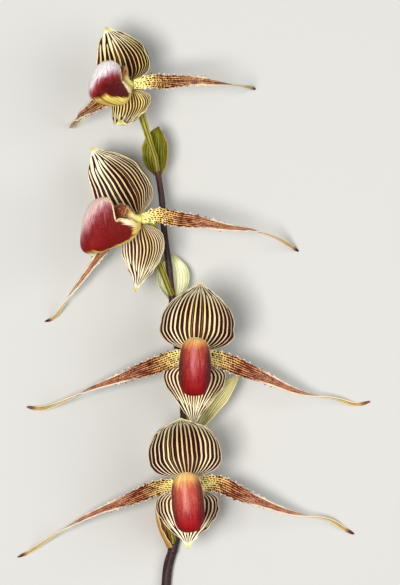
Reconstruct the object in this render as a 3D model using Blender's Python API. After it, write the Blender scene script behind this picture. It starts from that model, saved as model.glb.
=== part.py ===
"""Rothschild's slipper orchid: a cut flower spike with four open blooms, lying on its back.

The spike lies along +Y on the surface Z = 0, cut end at -Y, blooms looking up.
Lengths are in millimetres until a mesh is made, where they become metres.
A bloom has a frame of its own: X to its right as it is looked at, Y towards the tip of
its dorsal sepal, Z the way it faces. Its origin is where the ovary meets the flower.
"""

import math

import bpy
import numpy as np

MM = 0.001
MIDDLE = (0.15, -2.98, 0.0)  # what the routes below call the middle of the part's underside

# Driving dimensions
BLADE = 0.9  # thickness of sepals, petals and bracts
POUCH_WALL = 1.0
SEPAL_DEPTH = 5.2  # how far the sepals bulge behind the flower
CLEAR = 0.35  # gap between a piece and the neighbour that carries it
STEM_RADII = [(0.0, 2.95), (0.35, 2.75), (0.75, 2.05), (1.0, 1.75)]
COLUMN_RADIUS = 2.9
SEPAL_SEAT = COLUMN_RADIUS + CLEAR  # where the sepals start, off the flower's axis
PETAL_SEAT = COLUMN_RADIUS + CLEAR
PETAL_WIDTH = [  # half-width of a petal from base to tip
    (0.0, 3.3), (0.06, 4.4), (0.16, 4.95), (0.24, 4.45), (0.32, 3.6), (0.42, 2.75), (0.55, 2.1),
    (0.66, 1.7), (0.8, 1.3), (0.9, 1.25), (0.97, 1.0), (1.0, 0.5),
]
PETAL_TURNS = [  # the way a petal faces along its length: it twists half a turn
    (0.45, (0, 0.25, 1)), (0.58, (0, 0.9, 0.8)), (0.66, (0, 1, 0)), (0.76, (0, 0.8, -0.8)),
    (0.88, (0, 0, -1)), (1.0, (0, 0, -1)),
]
WART_HEIGHT = 0.65  # the warts that stand out of a petal's edge near its base
WART_REACH = 0.42  # share of a petal's length that has them
DORSAL_SHAPE = {  # along the midrib: height, depth, half-width, how far its edges stand forward
    "height": [(0.0, 0.0), (0.06, 0.025), (0.12, 0.07), (0.2, 0.16), (0.3, 0.29), (0.42, 0.45),
               (0.54, 0.62), (0.66, 0.77), (0.78, 0.86), (0.89, 0.93), (1.0, 1.0)],
    "behind": [(0.0, 0.0), (0.12, 0.4), (0.3, 1.0), (0.5, 0.8), (0.7, 0.0), (1.0, 0.0)],
    "reach": [(0.0, 0.0), (0.42, 0.02), (0.54, 0.1), (0.66, 0.26), (0.78, 0.52), (0.89, 0.76),
              (1.0, 1.0)],
    "wide": [(0.0, 4.0), (0.06, 10.0), (0.12, 15.6), (0.2, 20.0), (0.3, 21.8), (0.42, 21.4),
             (0.54, 18.4), (0.66, 13.2), (0.78, 8.3), (0.89, 4.1), (0.96, 1.6), (1.0, 0.6)],
    "rise": [(0.0, 0.3), (0.06, 0.8), (0.12, 3.0), (0.2, 10.5), (0.3, 18.0), (0.42, 20.5),
             (0.54, 18.5), (0.66, 15.5), (0.78, 10.0), (0.89, 4.5), (1.0, 0.3)],
}
ROUND_DORSAL_SHAPE = {
    **DORSAL_SHAPE,
    "wide": [(0.0, 4.0), (0.06, 10.0), (0.12, 15.6), (0.2, 20.0), (0.3, 22.3), (0.42, 22.3),
             (0.54, 20.0), (0.66, 16.4), (0.76, 12.6), (0.86, 7.4), (0.94, 3.0), (1.0, 0.6)],
}
SYNSEPAL_SHAPE = {
    "height": [(0.0, 0.0), (0.06, 0.04), (0.14, 0.12), (0.25, 0.23), (0.5, 0.49), (0.75, 0.76),
               (1.0, 1.0)],
    "behind": [(0.0, 0.0), (0.15, 0.5), (0.4, 1.0), (0.7, 0.5), (1.0, 0.0)],
    "reach": [(0.0, 0.0), (0.4, 0.04), (0.7, 0.35), (1.0, 1.0)],
    "wide": [(0.0, 4.0), (0.06, 10.0), (0.14, 16.2), (0.24, 18.4), (0.36, 17.4), (0.5, 13.6),
             (0.64, 9.0), (0.77, 5.0), (0.88, 2.4), (0.95, 1.3), (1.0, 0.6)],
    "rise": [(0.0, 0.3), (0.06, 0.8), (0.14, 2.0), (0.25, 5.8), (0.45, 9.2), (0.64, 6.0),
             (0.8, 2.6), (1.0, 0.3)],
}
BROAD_SYNSEPAL_SHAPE = {
    **SYNSEPAL_SHAPE,
    "wide": [(0.0, 4.0), (0.06, 10.0), (0.14, 15.8), (0.26, 18.0), (0.4, 17.8), (0.54, 15.4),
             (0.68, 11.0), (0.8, 6.0), (0.88, 3.2), (0.95, 1.5), (1.0, 0.6)],
}
CURLED_SYNSEPAL_SHAPE = {  # blunt, with its tip curled up and back over it
    "height": [(0.0, 0.0), (0.06, 0.04), (0.14, 0.12), (0.25, 0.24), (0.5, 0.52), (0.7, 0.78),
               (0.82, 0.95), (0.9, 1.0), (1.0, 0.9)],
    "behind": [(0.0, 0.0), (0.15, 0.5), (0.4, 1.0), (0.7, 0.5), (1.0, 0.0)],
    "reach": [(0.0, 0.0), (0.4, 0.05), (0.65, 0.25), (0.8, 0.55), (0.9, 0.8), (1.0, 1.0)],
    "wide": [(0.0, 4.0), (0.06, 9.5), (0.14, 14.5), (0.3, 16.8), (0.52, 15.2), (0.68, 12.0),
             (0.8, 8.4), (0.88, 5.6), (0.95, 3.0), (1.0, 1.4)],
    "rise": [(0.0, 0.3), (0.06, 0.8), (0.14, 2.0), (0.25, 5.0), (0.45, 8.0), (0.7, 7.0),
             (0.85, 4.5), (0.95, 2.0), (1.0, 0.5)],
}
BRACT_WIDTH = [(0.0, 5.0), (0.15, 8.0), (0.45, 10.0), (0.7, 8.2), (0.88, 4.2), (1.0, 0.6)]

# How finely the solids are cut
SEPAL_ROWS, SEPAL_COLUMNS = 12, 10
PETAL_WARTY_ROWS, PETAL_PLAIN_ROWS, PETAL_COLUMNS = 22, 13, 3
BRACT_ROWS, BRACT_COLUMNS = 10, 6
POUCH_TOE_ROWS, POUCH_SOLE_ROWS, POUCH_QUARTER = 6, 6, 6
STALK_RINGS, STALK_SIDES = 14, 12
STEM_RINGS, STEM_SIDES = 34, 12
COLUMN_RINGS, COLUMN_SIDES = 15, 10

# The stem from its cut end to the top flower's stalk
STEM_ROUTE = [
    (-20.3, -187.3, 2.95), (-16.6, -151.1, 3.6), (-14.8, -137.2, 4.4), (-12.4, -129.3, 5.0),
    (-8.8, -99.7, 7.0), (-5.8, -63.5, 9.5), (-5.8, -42.4, 11.0), (-9.3, -9.4, 13.5),
    (-12.9, 22.4, 16.5), (-15.1, 43.3, 18.5), (-17.9, 65.4, 21.0), (-19.6, 86.2, 23.0),
    (-21.8, 98.1, 24.0),
]

# Each bloom, from the top of the spike to the lowest. Petal routes count from the bloom's
# centre, along the part's own axes; stalk and bract routes are in the part's frame, and a
# bract's starts with the Y at which it clasps the stem. A sepal has its tip's height and how far
# forward that is, its width, how much its edges rise, and its tilt in degrees. A lip has its
# size, how far it hangs, how much further its middle sags, and its width. petals are the left
# and right one's width, and twist is how much later along them they turn over.
BLOOMS = {
    1: {
        "centre": (-36.9, 147.5, 44.0), "yaw": 30.0, "pitch": 9.0, "roll": 4.0, "size": 0.88,
        "dorsal": ((37.3, 19.9), 0.88, 0.67, 13.0), "synsepal": ((28.6, 10.5), 0.89, 0.66, -2.9),
        "synsepal_shape": CURLED_SYNSEPAL_SHAPE, "lip": (0.92, -2.5, 3.0, 1.1),
        "petals": (1.0, 0.95), "twist": (0.0, 0.0),
        "left": [(-8.5, -4.4, -2.0), (-16.0, -9.0, 0.5), (-23.1, -13.3, -2.0), (-29.2, -16.5, -9.0),
                 (-33.7, -20.2, -19.0), (-36.2, -22.7, -30.0), (-35.7, -22.4, -40.0),
                 (-31.6, -18.0, -43.6), (-24.0, -13.5, -43.6)],
        "right": [(10.5, 1.6, 6.0), (20.3, 0.8, 15.5), (30.3, 1.0, 22.0), (40.8, 1.0, 23.0),
                  (50.1, 0.3, 16.0), (59.6, 0.1, 1.0), (66.4, 0.5, -17.0), (70.8, 0.7, -34.0),
                  (73.9, 0.3, -43.6)],
        "stalk": [(-21.6, 96.8, 23.9), (-22.6, 104.0, 26.3), (-25.5, 113.3, 29.5),
                  (-28.4, 122.6, 32.5), (-31.0, 131.9, 35.0)],
        "bract": [95.0, (-21.6, 103.1, 18.0), (-21.6, 110.8, 18.0), (-21.2, 117.9, 21.0),
                  (-20.8, 123.6, 26.0)],
        "bract_faces": [(0.0, (-0.1, 0.0, 1.0)), (0.4, (-0.3, 0.0, 0.95)), (1.0, (-0.3, 0.0, 0.95))],
    },
    2: {
        "centre": (-31.6, 68.5, 42.0), "yaw": 42.0, "pitch": -6.0, "roll": 7.0, "size": 1.0,
        "dorsal": ((50.2, 10.7), 0.97, 0.55, 22.5), "synsepal": ((42.4, 5.5), 0.93, 0.6, -10.3),
        "synsepal_shape": BROAD_SYNSEPAL_SHAPE,
        "lip": (1.0, 0.0, 0.0, 1.0), "petals": (0.8, 0.86), "twist": (0.12, 0.0),
        "left": [(-8.0, -4.5, -6.0), (-15.5, -11.0, -11.0), (-23.0, -19.6, -14.5),
                 (-30.0, -28.9, -18.5), (-36.8, -37.8, -23.5), (-43.6, -46.7, -29.5),
                 (-50.0, -55.8, -36.0), (-54.4, -59.7, -40.8), (-58.0, -60.9, -41.6)],
        "right": [(7.2, 1.6, 6.0), (20.8, 0.0, 12.0), (35.5, -2.1, 14.0), (50.2, -4.9, 10.0),
                  (65.0, -6.5, 0.0), (77.1, -9.2, -14.0), (87.0, -13.8, -29.0),
                  (94.6, -18.4, -41.6)],
        "stalk": [(-12.9, 23.6, 17.0), (-15.3, 29.0, 19.5), (-18.8, 38.5, 23.5),
                  (-22.4, 49.0, 28.5)],
        "bract": [20.6, (-12.4, 26.6, 9.0), (-12.4, 33.8, 7.0), (-12.8, 41.0, 6.5),
                  (-13.6, 48.2, 8.0)], "bract_size": 1.2,
        "bract_faces": [(0.0, (0.0, 0.0, 1.0)), (1.0, (0.0, 0.1, 1.0))],
    },
    3: {
        "centre": (0.9, -12.4, 42.0), "yaw": 0.0, "pitch": -8.0, "roll": -1.5, "size": 1.0,
        "dorsal": ((47.5, 27.5), 1.0, 1.0, -2.5), "synsepal": ((42.0, 8.0), 1.0, 1.0, 0.0),
        "lip": (1.0, 0.0, 0.0, 1.0), "petals": (0.95, 1.0), "twist": (0.0, 0.05),
        "left": [(-17.7, -3.4, 0.0), (-32.6, -8.9, -3.0), (-47.5, -14.4, -8.0),
                 (-61.3, -19.6, -15.0), (-74.8, -25.9, -24.0), (-87.2, -31.0, -33.5),
                 (-94.7, -32.4, -40.0), (-101.4, -31.5, -41.6)],
        "right": [(16.0, -2.6, 0.0), (29.6, -8.2, -3.5), (44.5, -14.4, -9.0), (59.6, -21.2, -17.5),
                  (74.9, -24.8, -28.0), (88.4, -27.5, -36.5), (98.2, -30.0, -41.0),
                  (105.5, -28.2, -41.6)],
        "stalk": [(-5.2, -63.5, 10.0), (-3.6, -58.0, 13.0), (-2.1, -47.0, 18.5),
                  (-0.3, -33.5, 24.5)],
        "bract": [-68.0, (0.9, -61.1, 9.0), (6.8, -51.4, 12.0), (14.0, -40.4, 17.0),
                  (21.1, -31.3, 22.0), (26.5, -24.7, 25.0)],
        "bract_faces": [(0.0, (-1.0, 0.0, 0.1)), (0.25, (-0.8, 0.2, 0.5)), (0.6, (-0.5, 0.3, 0.8)),
                        (1.0, (-0.4, 0.25, 0.85))],
    },
    4: {
        "centre": (-3.3, -88.2, 40.0), "yaw": 0.0, "pitch": -13.0, "roll": 5.0, "size": 1.0,
        "dorsal": ((47.5, 27.0), 0.95, 0.85, 0.0), "synsepal": ((37.5, 7.0), 1.0, 1.0, -5.0),
        "dorsal_shape": ROUND_DORSAL_SHAPE, "synsepal_shape": BROAD_SYNSEPAL_SHAPE,
        "lip": (1.0, 0.0, 0.0, 1.0), "petals": (0.84, 0.97), "twist": (0.05, 0.05),
        "left": [(-13.6, -1.0, 1.5), (-25.5, -5.2, -2.5), (-40.4, -11.7, -8.0),
                 (-55.5, -18.1, -15.0), (-70.7, -26.5, -24.0), (-86.1, -36.4, -33.0),
                 (-96.6, -43.5, -38.8), (-102.7, -46.3, -39.6)],
        "right": [(15.4, 0.6, 0.0), (29.6, -5.4, -3.5), (43.9, -11.5, -9.0), (59.6, -17.7, -17.5),
                  (74.2, -21.0, -26.5), (86.5, -24.2, -34.0), (94.5, -29.3, -38.5),
                  (100.0, -32.4, -39.6)],
        "stalk": [(-12.2, -126.0, 5.5), (-12.7, -121.5, 9.5), (-13.3, -115.1, 15.0),
                  (-10.5, -106.6, 20.0)],
        "bract": [-128.6, (-18.2, -122.0, 6.5), (-20.5, -114.5, 8.5), (-21.4, -106.5, 11.0),
                  (-20.6, -98.5, 14.0), (-19.0, -92.0, 17.0)],
        "bract_faces": [(0.0, (1.0, -0.1, 0.0)), (0.25, (0.95, 0.1, 0.3)), (1.0, (0.75, 0.0, 0.65))],
        "bract_wrap": 88.0,
    },
}


# Curves and profiles

def unit(v):
    v = np.asarray(v, float)
    return v / np.linalg.norm(v, axis=-1, keepdims=True)


def smooth_route(points, count):
    """Evenly spaced points on a natural cubic spline through the given ones."""
    p = np.array(points, float)
    chord = np.linalg.norm(np.diff(p, axis=0), axis=1)
    knot = np.concatenate([[0.0], np.cumsum(chord)])
    n = len(p)
    rows, sums = np.eye(n), np.zeros_like(p)
    for i in range(1, n - 1):
        rows[i, i - 1 : i + 2] = chord[i - 1], 2 * (chord[i - 1] + chord[i]), chord[i]
        sums[i] = 6 * ((p[i + 1] - p[i]) / chord[i] - (p[i] - p[i - 1]) / chord[i - 1])
    bend = np.linalg.solve(rows, sums)

    def at(s):
        i = np.clip(np.searchsorted(knot, s) - 1, 0, n - 2)
        h = chord[i][:, None]
        a, b = (knot[i + 1] - s)[:, None], (s - knot[i])[:, None]
        return (
            bend[i] * a**3 / (6 * h) + bend[i + 1] * b**3 / (6 * h)
            + (p[i] / h - bend[i] * h / 6) * a + (p[i + 1] / h - bend[i + 1] * h / 6) * b
        )

    dense = at(np.linspace(0, knot[-1], 40 * n))
    along = np.concatenate([[0.0], np.cumsum(np.linalg.norm(np.diff(dense, axis=0), axis=1))])
    stations = count if np.ndim(count) else np.linspace(0, 1, count)
    wanted = np.asarray(stations) * along[-1]
    return np.stack([np.interp(wanted, along, dense[:, k]) for k in range(3)], axis=1)


def profile(keys, t):
    """A smooth curve through (t, value) keys that never overshoots them."""
    x, y = np.array(keys, float).T
    h, slope = np.diff(x), np.diff(y) / np.diff(x)
    tangent = np.concatenate([[slope[0]], (slope[1:] + slope[:-1]) / 2, [slope[-1]]])
    for i in range(1, len(x) - 1):
        if slope[i - 1] * slope[i] <= 0:
            tangent[i] = 0.0
        else:
            limit = 3 * min(abs(slope[i - 1]), abs(slope[i]))
            tangent[i] = math.copysign(min(abs(tangent[i]), limit), tangent[i])
    t = np.clip(t, x[0], x[-1])
    i = np.clip(np.searchsorted(x, t, side="right") - 1, 0, len(x) - 2)
    s = (t - x[i]) / h[i]
    return (
        y[i] * (1 + 2 * s) * (1 - s) ** 2 + y[i + 1] * s**2 * (3 - 2 * s)
        + h[i] * (tangent[i] * s * (1 - s) ** 2 - tangent[i + 1] * s**2 * (1 - s))
    )


def directions(route):
    return unit(np.gradient(route, axis=0))


def facing(keys, t, along):
    """Unit normals that follow the keyed directions, each square to the route."""
    x = [k[0] for k in keys]
    n = np.stack([np.interp(t, x, [k[1][axis] for k in keys]) for axis in range(3)], axis=1)
    n -= along * np.sum(n * along, axis=1, keepdims=True)
    return unit(n)


# Surfaces as grids of points

def blade_grid(spine, normal, half_width, cup, across):
    """Rows across a spine: a strip bent towards its normal, to half-angle cup at its edges."""
    side = np.cross(directions(spine), normal)
    angle = cup[:, None] * across[None, :]
    safe = np.maximum(cup, 1e-6)[:, None]
    out = half_width[:, None] * np.sin(angle) / safe
    up = half_width[:, None] * (1 - np.cos(angle)) / safe
    return spine[:, None] + side[:, None] * out[..., None] + normal[:, None] * up[..., None]


def off_the_floor(points):
    """The middle of a blade, no lower than where its underside lies on the surface."""
    points[..., 2] = np.maximum(points[..., 2], BLADE / 2)
    return points


def bloom_axes(bloom):
    """The bloom's own axes as columns, in the part's frame."""
    yaw, pitch, roll = (math.radians(bloom[k]) for k in ("yaw", "pitch", "roll"))
    turn_y = np.array([
        [math.cos(yaw), 0, -math.sin(yaw)], [0, 1, 0], [math.sin(yaw), 0, math.cos(yaw)],
    ])
    turn_x = np.array([
        [1, 0, 0], [0, math.cos(pitch), math.sin(pitch)], [0, -math.sin(pitch), math.cos(pitch)],
    ])
    turn_z = np.array([
        [math.cos(roll), -math.sin(roll), 0], [math.sin(roll), math.cos(roll), 0], [0, 0, 1],
    ])
    return turn_y @ turn_x @ turn_z


def placed(bloom, points):
    """Points of the bloom's own frame, in the part's frame."""
    return np.array(bloom["centre"]) + bloom["size"] * np.asarray(points) @ bloom_axes(bloom).T


def sepal_grid(bloom, shape, up, tip, size, edge, tilt):
    """A cupped sepal. tip is how far its point stands out and forward; up is 1 or -1."""
    t = np.linspace(0, 1, SEPAL_ROWS + 1)
    u = np.linspace(-1, 1, SEPAL_COLUMNS + 1)
    height = SEPAL_SEAT + (tip[0] - SEPAL_SEAT) * profile(shape["height"], t)
    back = (tip[1] + 1.4) * profile(shape["reach"], t) - 1.4 - SEPAL_DEPTH * profile(shape["behind"], t)
    half = np.radians(profile([(0, 30), (0.15, 70), (0.3, 88), (0.6, 88), (1, 40)], t))[:, None]
    out = profile(shape["wide"], t)[:, None] * size * np.sin(u * half) / np.sin(half)
    rise = profile(shape["rise"], t)[:, None] * edge * (1 - np.cos(u * half)) / (1 - np.cos(half))
    turn = math.radians(tilt)
    x = out * math.cos(turn) - height[:, None] * math.sin(turn)
    y = out * math.sin(turn) + height[:, None] * math.cos(turn)
    grid = np.stack([x, y * up, back[:, None] + rise], axis=2)
    return placed(bloom, grid if up > 0 else grid * (-1, 1, 1))


def dorsal_sepal(bloom):
    return sepal_grid(bloom, bloom.get("dorsal_shape", DORSAL_SHAPE), 1, *bloom["dorsal"])


def synsepal(bloom):
    return sepal_grid(bloom, bloom.get("synsepal_shape", SYNSEPAL_SHAPE), -1, *bloom["synsepal"])


def petal_stations():
    """Shares of a petal's length: close together where it has warts, wider beyond."""
    warty = np.linspace(0, WART_REACH, PETAL_WARTY_ROWS + 1)
    return np.concatenate([warty, np.linspace(WART_REACH, 1, PETAL_PLAIN_ROWS + 1)[1:]])


def petal(bloom, hand):
    """A long ribbon from the flower's side (hand -1 or 1) that droops to the surface."""
    x, _, z = bloom_axes(bloom).T
    seat = placed(bloom, (hand * PETAL_SEAT, 0.0, 1.6))
    hung = np.array(bloom["centre"]) + np.array(bloom["left" if hand < 0 else "right"])
    t = petal_stations()
    spine = smooth_route([seat, seat + hand * 3.0 * x, *hung], t)
    along = directions(off_the_floor(spine))
    late = bloom["twist"][hand > 0]
    normal = facing([(0.0, z), *((min(k + late, 1.0), way) for k, way in PETAL_TURNS)], t, along)
    warts = np.where((np.arange(len(t)) % 2 == 1) & (t < WART_REACH) & (t > 0.04), WART_HEIGHT, 0)
    width = (profile(PETAL_WIDTH, t) * bloom["petals"][hand > 0] + warts) * bloom["size"]
    return off_the_floor(blade_grid(spine, normal, width, np.full(len(t), math.radians(14)),
                                    np.linspace(-1, 1, PETAL_COLUMNS + 1)))


def stem_at(y):
    """The stem's middle and radius at a place along the part."""
    route = smooth_route(STEM_ROUTE, STEM_RINGS)
    middle = np.array([np.interp(y, route[:, 1], route[:, axis]) for axis in range(3)])
    return middle, profile(STEM_RADII, np.interp(y, route[:, 1], np.linspace(0, 1, STEM_RINGS)))


def bract(bloom):
    """A boat-shaped leaf whose base clasps the stem, below the bloom's stalk."""
    middle, radius = stem_at(bloom["bract"][0])
    reach = radius + CLEAR + BLADE / 2
    seat = middle - reach * unit(bloom["bract_faces"][0][1])
    t = np.linspace(0, 1, BRACT_ROWS + 1)
    spine = smooth_route([seat, *bloom["bract"][1:]], BRACT_ROWS + 1)
    normal = facing(bloom["bract_faces"], t, directions(spine))
    wrap = bloom.get("bract_wrap", 75.0)
    cups = np.radians(profile([(0.0, wrap), (0.15, 69.0), (0.5, 62.0), (1.0, 20.0)], t))
    width = profile(BRACT_WIDTH, t) * bloom.get("bract_size", 1.0)
    width[0] = reach * cups[0]
    return blade_grid(spine, normal, width, cups, np.linspace(-1, 1, BRACT_COLUMNS + 1))


def pouch(bloom):
    """The slipper: rings of a round-ended bag from its toe back to the claw that carries it.

    All of a ring is there in front of the throat, and only its lower half behind it.
    """
    toe, throat, claw = 46.0, 33.5, 3.4
    around = np.linspace(0, 2 * math.pi, 4 * POUCH_QUARTER, endpoint=False)
    share = 1 - np.cos(np.linspace(0, math.pi / 2, POUCH_TOE_ROWS + 1)[1:])
    depth = np.concatenate([
        toe - (toe - throat) * share, np.linspace(throat, claw, POUCH_SOLE_ROWS + 1)[1:],
    ])
    along = (depth - claw) / (toe - claw)
    middle = profile([(0, -2.35), (0.2, -2.8), (0.5, -1.4), (0.7, -1.0), (1, -1.0)], along)
    swell = np.sqrt(np.clip(1 - np.clip((along - 0.72) / 0.28, 0, 1) ** 2.4, 0, 1))
    wide = swell * profile([(0, 1.6), (0.14, 4.6), (0.4, 7.3), (0.7, 8.35), (1, 8.35)], along)
    full = np.clip(1 - np.clip((along - 0.72) / 0.28, 0, 1) ** 3.4, 0, 1) ** 0.45
    below = full * profile([(0, 3.2), (0.14, 6.6), (0.4, 11.0), (0.7, 14.2), (1, 14.8)], along)
    above = swell * 15.4
    s, c = np.sin(around)[None, :], -np.cos(around)[None, :]
    blunt = np.where(c < 0, 3.2, 2.6)
    square = (np.abs(s) ** blunt + np.abs(c) ** blunt) ** (-1 / blunt)
    y = middle[:, None] + square * c * np.where(c < 0, below[:, None], above[:, None])
    lobes = profile([(0, 0), (0.12, 0), (0.3, 2.4), (0.55, 2.4), (0.7, 0), (1, 0)], along)
    y += lobes[:, None] * np.clip(1 + c, 0, 1) ** 3
    lean = profile([(0, 0), (0.5, 0.12), (0.8, 0.38), (1, 0.46)], along)[:, None]
    grid = np.stack([square * s * wide[:, None], y, depth[:, None] - lean * (y + 1.0)], axis=2)
    size, drop, sag, broad = bloom["lip"]
    grid[..., 0] *= 1 + (broad - 1) * np.clip(along / 0.2, 0, 1)[:, None]
    grid = (grid - (0, 0, claw)) * size + (0, 0, claw)
    grid[..., 1] += drop * profile([(0, 0.1), (0.35, 1), (1, 1)], along)[:, None]
    grid[..., 1] -= sag * profile([(0, 0), (0.15, 0.5), (0.35, 1), (0.6, 0.8), (1, 0)], along)[:, None]
    tip = (0.0, drop - size, claw + (toe - claw) * size)
    return placed(bloom, tip), placed(bloom, grid)


# Solids

def material(name, colour, roughness):
    found = bpy.data.materials.get(name)
    if found:
        return found
    made = bpy.data.materials.new(name)
    made.use_nodes = True
    shader = made.node_tree.nodes["Principled BSDF"]
    shader.inputs["Base Color"].default_value = (*colour, 1)
    shader.inputs["Roughness"].default_value = roughness
    return made


def finished(name, points, faces, look):
    """A smooth-shaded object from millimetre points, without those that no face uses."""
    used = sorted({corner for face in faces for corner in face})
    renumbered = {old: new for new, old in enumerate(used)}
    metres = (np.asarray(points)[used] - MIDDLE) * MM
    mesh = bpy.data.meshes.new(name)
    mesh.from_pydata([tuple(float(v) for v in p) for p in metres], [],
                     [tuple(renumbered[corner] for corner in face) for face in faces])
    mesh.shade_smooth()
    mesh.materials.append(look)
    obj = bpy.data.objects.new(name, mesh)
    bpy.context.scene.collection.objects.link(obj)
    return obj


def thicken(obj, thickness, offset):
    solidify = obj.modifiers.new("Thickness", "SOLIDIFY")
    solidify.thickness = thickness * MM
    solidify.offset = offset
    solidify.use_rim = True


def blade(name, grid, look):
    """A thin solid on a grid, cut into the same triangles on both faces."""
    rows, columns = grid.shape[:2]
    faces = []
    for i in range(rows - 1):
        for j in range(columns - 1):
            a, b = i * columns + j, (i + 1) * columns + j
            faces += [(a, a + 1, b + 1), (a, b + 1, b)]
    obj = finished(name, grid.reshape(-1, 3), faces, look)
    thicken(obj, BLADE, 0.0)
    return obj


def slipper(name, tip, rings, look):
    """A round-toed bag on rings, open above behind its toe, thickened outwards."""
    rows, sides = rings.shape[:2]
    quarter = sides // 4
    faces = [(0, 1 + (j + 1) % sides, 1 + j) for j in range(sides)]
    for i in range(rows - 1):
        for j in range(sides):
            if i >= POUCH_TOE_ROWS - 1 and quarter <= j < 3 * quarter:
                continue
            a, b = 1 + i * sides + j, 1 + i * sides + (j + 1) % sides
            faces += [(a, b, b + sides), (a, b + sides, a + sides)]
    obj = finished(name, np.concatenate([[tip], rings.reshape(-1, 3)]), faces, look)
    thicken(obj, POUCH_WALL, -1.0)
    return obj


def tube(name, route, radii, sides, look):
    """A closed round stalk. radii holds one radius, or a wide and a thin one, for each point."""
    along = directions(route)
    normal = np.empty_like(route)
    normal[0] = unit(np.cross(along[0], (1.0, 0.0, 0.0)))
    for i in range(1, len(route)):
        kept = normal[i - 1] - along[i] * np.dot(normal[i - 1], along[i])
        normal[i] = unit(kept)
    side = np.cross(normal, along)
    radii = np.asarray(radii, float).reshape(len(route), -1)
    turn = np.linspace(0, 2 * math.pi, sides, endpoint=False)
    rings = (
        route[:, None]
        + side[:, None] * (radii[:, :1] * np.cos(turn))[..., None]
        + normal[:, None] * (radii[:, -1:] * np.sin(turn))[..., None]
    )
    faces = []
    for i in range(len(route) - 1):
        for j in range(sides):
            a, b = i * sides + j, i * sides + (j + 1) % sides
            faces.append((a, b, b + sides, a + sides))
    last = (len(route) - 1) * sides
    faces.append(tuple(range(sides - 1, -1, -1)))
    faces.append(tuple(range(last, last + sides)))
    return finished(name, rings.reshape(-1, 3), faces, look)


def cut(obj, cutter, name):
    """Takes the cutter's space out of obj and leaves the cutter as a hidden guide."""
    cutter.hide_render = True
    cutter.display_type = "WIRE"
    boolean = obj.modifiers.new(name, "BOOLEAN")
    boolean.object = cutter
    boolean.solver = "EXACT"


# The spike's pieces

def stem(look):
    t = np.linspace(0, 1, STEM_RINGS)
    route = smooth_route(STEM_ROUTE, STEM_RINGS)
    return tube("stem", route, profile(STEM_RADII, t), STEM_SIDES, look)


def stem_clearance(look):
    """The stem with its clearance all round, which the stalks are cut back to."""
    t = np.append(np.linspace(0, 1, STEM_RINGS), 1.0)
    route = smooth_route(STEM_ROUTE, STEM_RINGS)
    route = np.append(route, [route[-1] + CLEAR * directions(route)[-1]], axis=0)
    return tube("stem_clearance", route, profile(STEM_RADII, t) + CLEAR, STEM_SIDES, look)


def stalk_route(bloom):
    """The flower's stalk and ovary, from inside the stem to the back of the flower."""
    behind = placed(bloom, [(0.0, -7.0, -11.0), (0.0, -1.8, -7.4), (0.0, 0.0, -4.4)])
    route = smooth_route([*bloom["stalk"], *behind], STALK_RINGS - 1)
    return np.append(route, [placed(bloom, (0.0, 0.0, -1.9))], axis=0)


def ovary(number, bloom, look, clearance):
    t = np.linspace(0, 1, STALK_RINGS)
    radii = profile([(0, 1.8), (0.35, 2.05), (0.7, 2.5), (0.9, 2.35), (1, 2.55)], t)
    made = tube(f"ovary_{number}", stalk_route(bloom), radii * bloom["size"], STALK_SIDES, look)
    cut(made, clearance, "Seat on the stem")
    return made


def column(number, bloom, look):
    """The column, with the shield-shaped staminode that hangs in front of the pouch's mouth."""
    line = [(0, 0, 1.2), (0, 1.0, 5.4), (0, 4.6, 9.0), (0, 7.6, 12.0), (0, 8.4, 14.6),
            (0, 6.6, 16.6), (0, 1.8, 17.2)]
    upper = smooth_route(line, COLUMN_RINGS - 1)
    route = placed(bloom, np.concatenate([[(0.0, 0.0, -1.4)], upper]))
    t = np.linspace(0, 1, COLUMN_RINGS)
    wide = profile([(0, COLUMN_RADIUS), (0.25, 2.7), (0.42, 2.4), (0.6, 3.7), (0.78, 4.8), (0.92, 4.0),
                    (1, 1.6)], t)
    thin = profile([(0, COLUMN_RADIUS), (0.25, 2.5), (0.42, 1.9), (0.6, 1.4), (0.78, 1.1), (1, 0.6)], t)
    radii = np.stack([wide, thin], axis=1) * bloom["size"]
    return tube(f"column_{number}", route, radii, COLUMN_SIDES, look)


def clear_scene():
    for obj in list(bpy.data.objects):
        bpy.data.objects.remove(obj)


def main():
    clear_scene()
    looks = {
        "stem": material("stem", (0.055, 0.012, 0.018), 0.5),
        "stalk": material("stalk", (0.33, 0.36, 0.06), 0.5),
        "bract": material("bract", (0.5, 0.56, 0.2), 0.55),
        "sepal": material("sepal", (0.78, 0.66, 0.42), 0.5),
        "petal": material("petal", (0.55, 0.33, 0.12), 0.5),
        "pouch": material("pouch", (0.42, 0.03, 0.04), 0.35),
        "column": material("column", (0.5, 0.3, 0.08), 0.5),
    }
    stem(looks["stem"])
    clearance = stem_clearance(looks["stem"])
    for number, bloom in BLOOMS.items():
        ovary(number, bloom, looks["stalk"], clearance)
        blade(f"bract_{number}", bract(bloom), looks["bract"])
        column(number, bloom, looks["column"])
        blade(f"dorsal_sepal_{number}", dorsal_sepal(bloom), looks["sepal"])
        blade(f"synsepal_{number}", synsepal(bloom), looks["sepal"])
        blade(f"petal_left_{number}", petal(bloom, -1), looks["petal"])
        blade(f"petal_right_{number}", petal(bloom, 1), looks["petal"])
        slipper(f"lip_{number}", *pouch(bloom), looks["pouch"])


main()
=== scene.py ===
"""Looks of the slipper orchid's flower spike.

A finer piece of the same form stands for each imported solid, with its own markings, and hairs,
beads and rolled edges are added. Lengths are in millimetres until a mesh is made.
A bloom's own frame is X to its right, Y towards its dorsal sepal's tip, Z the way it faces.
The camera looks straight down on the spike, which the photograph shows upright from the front.
"""
import math

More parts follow.
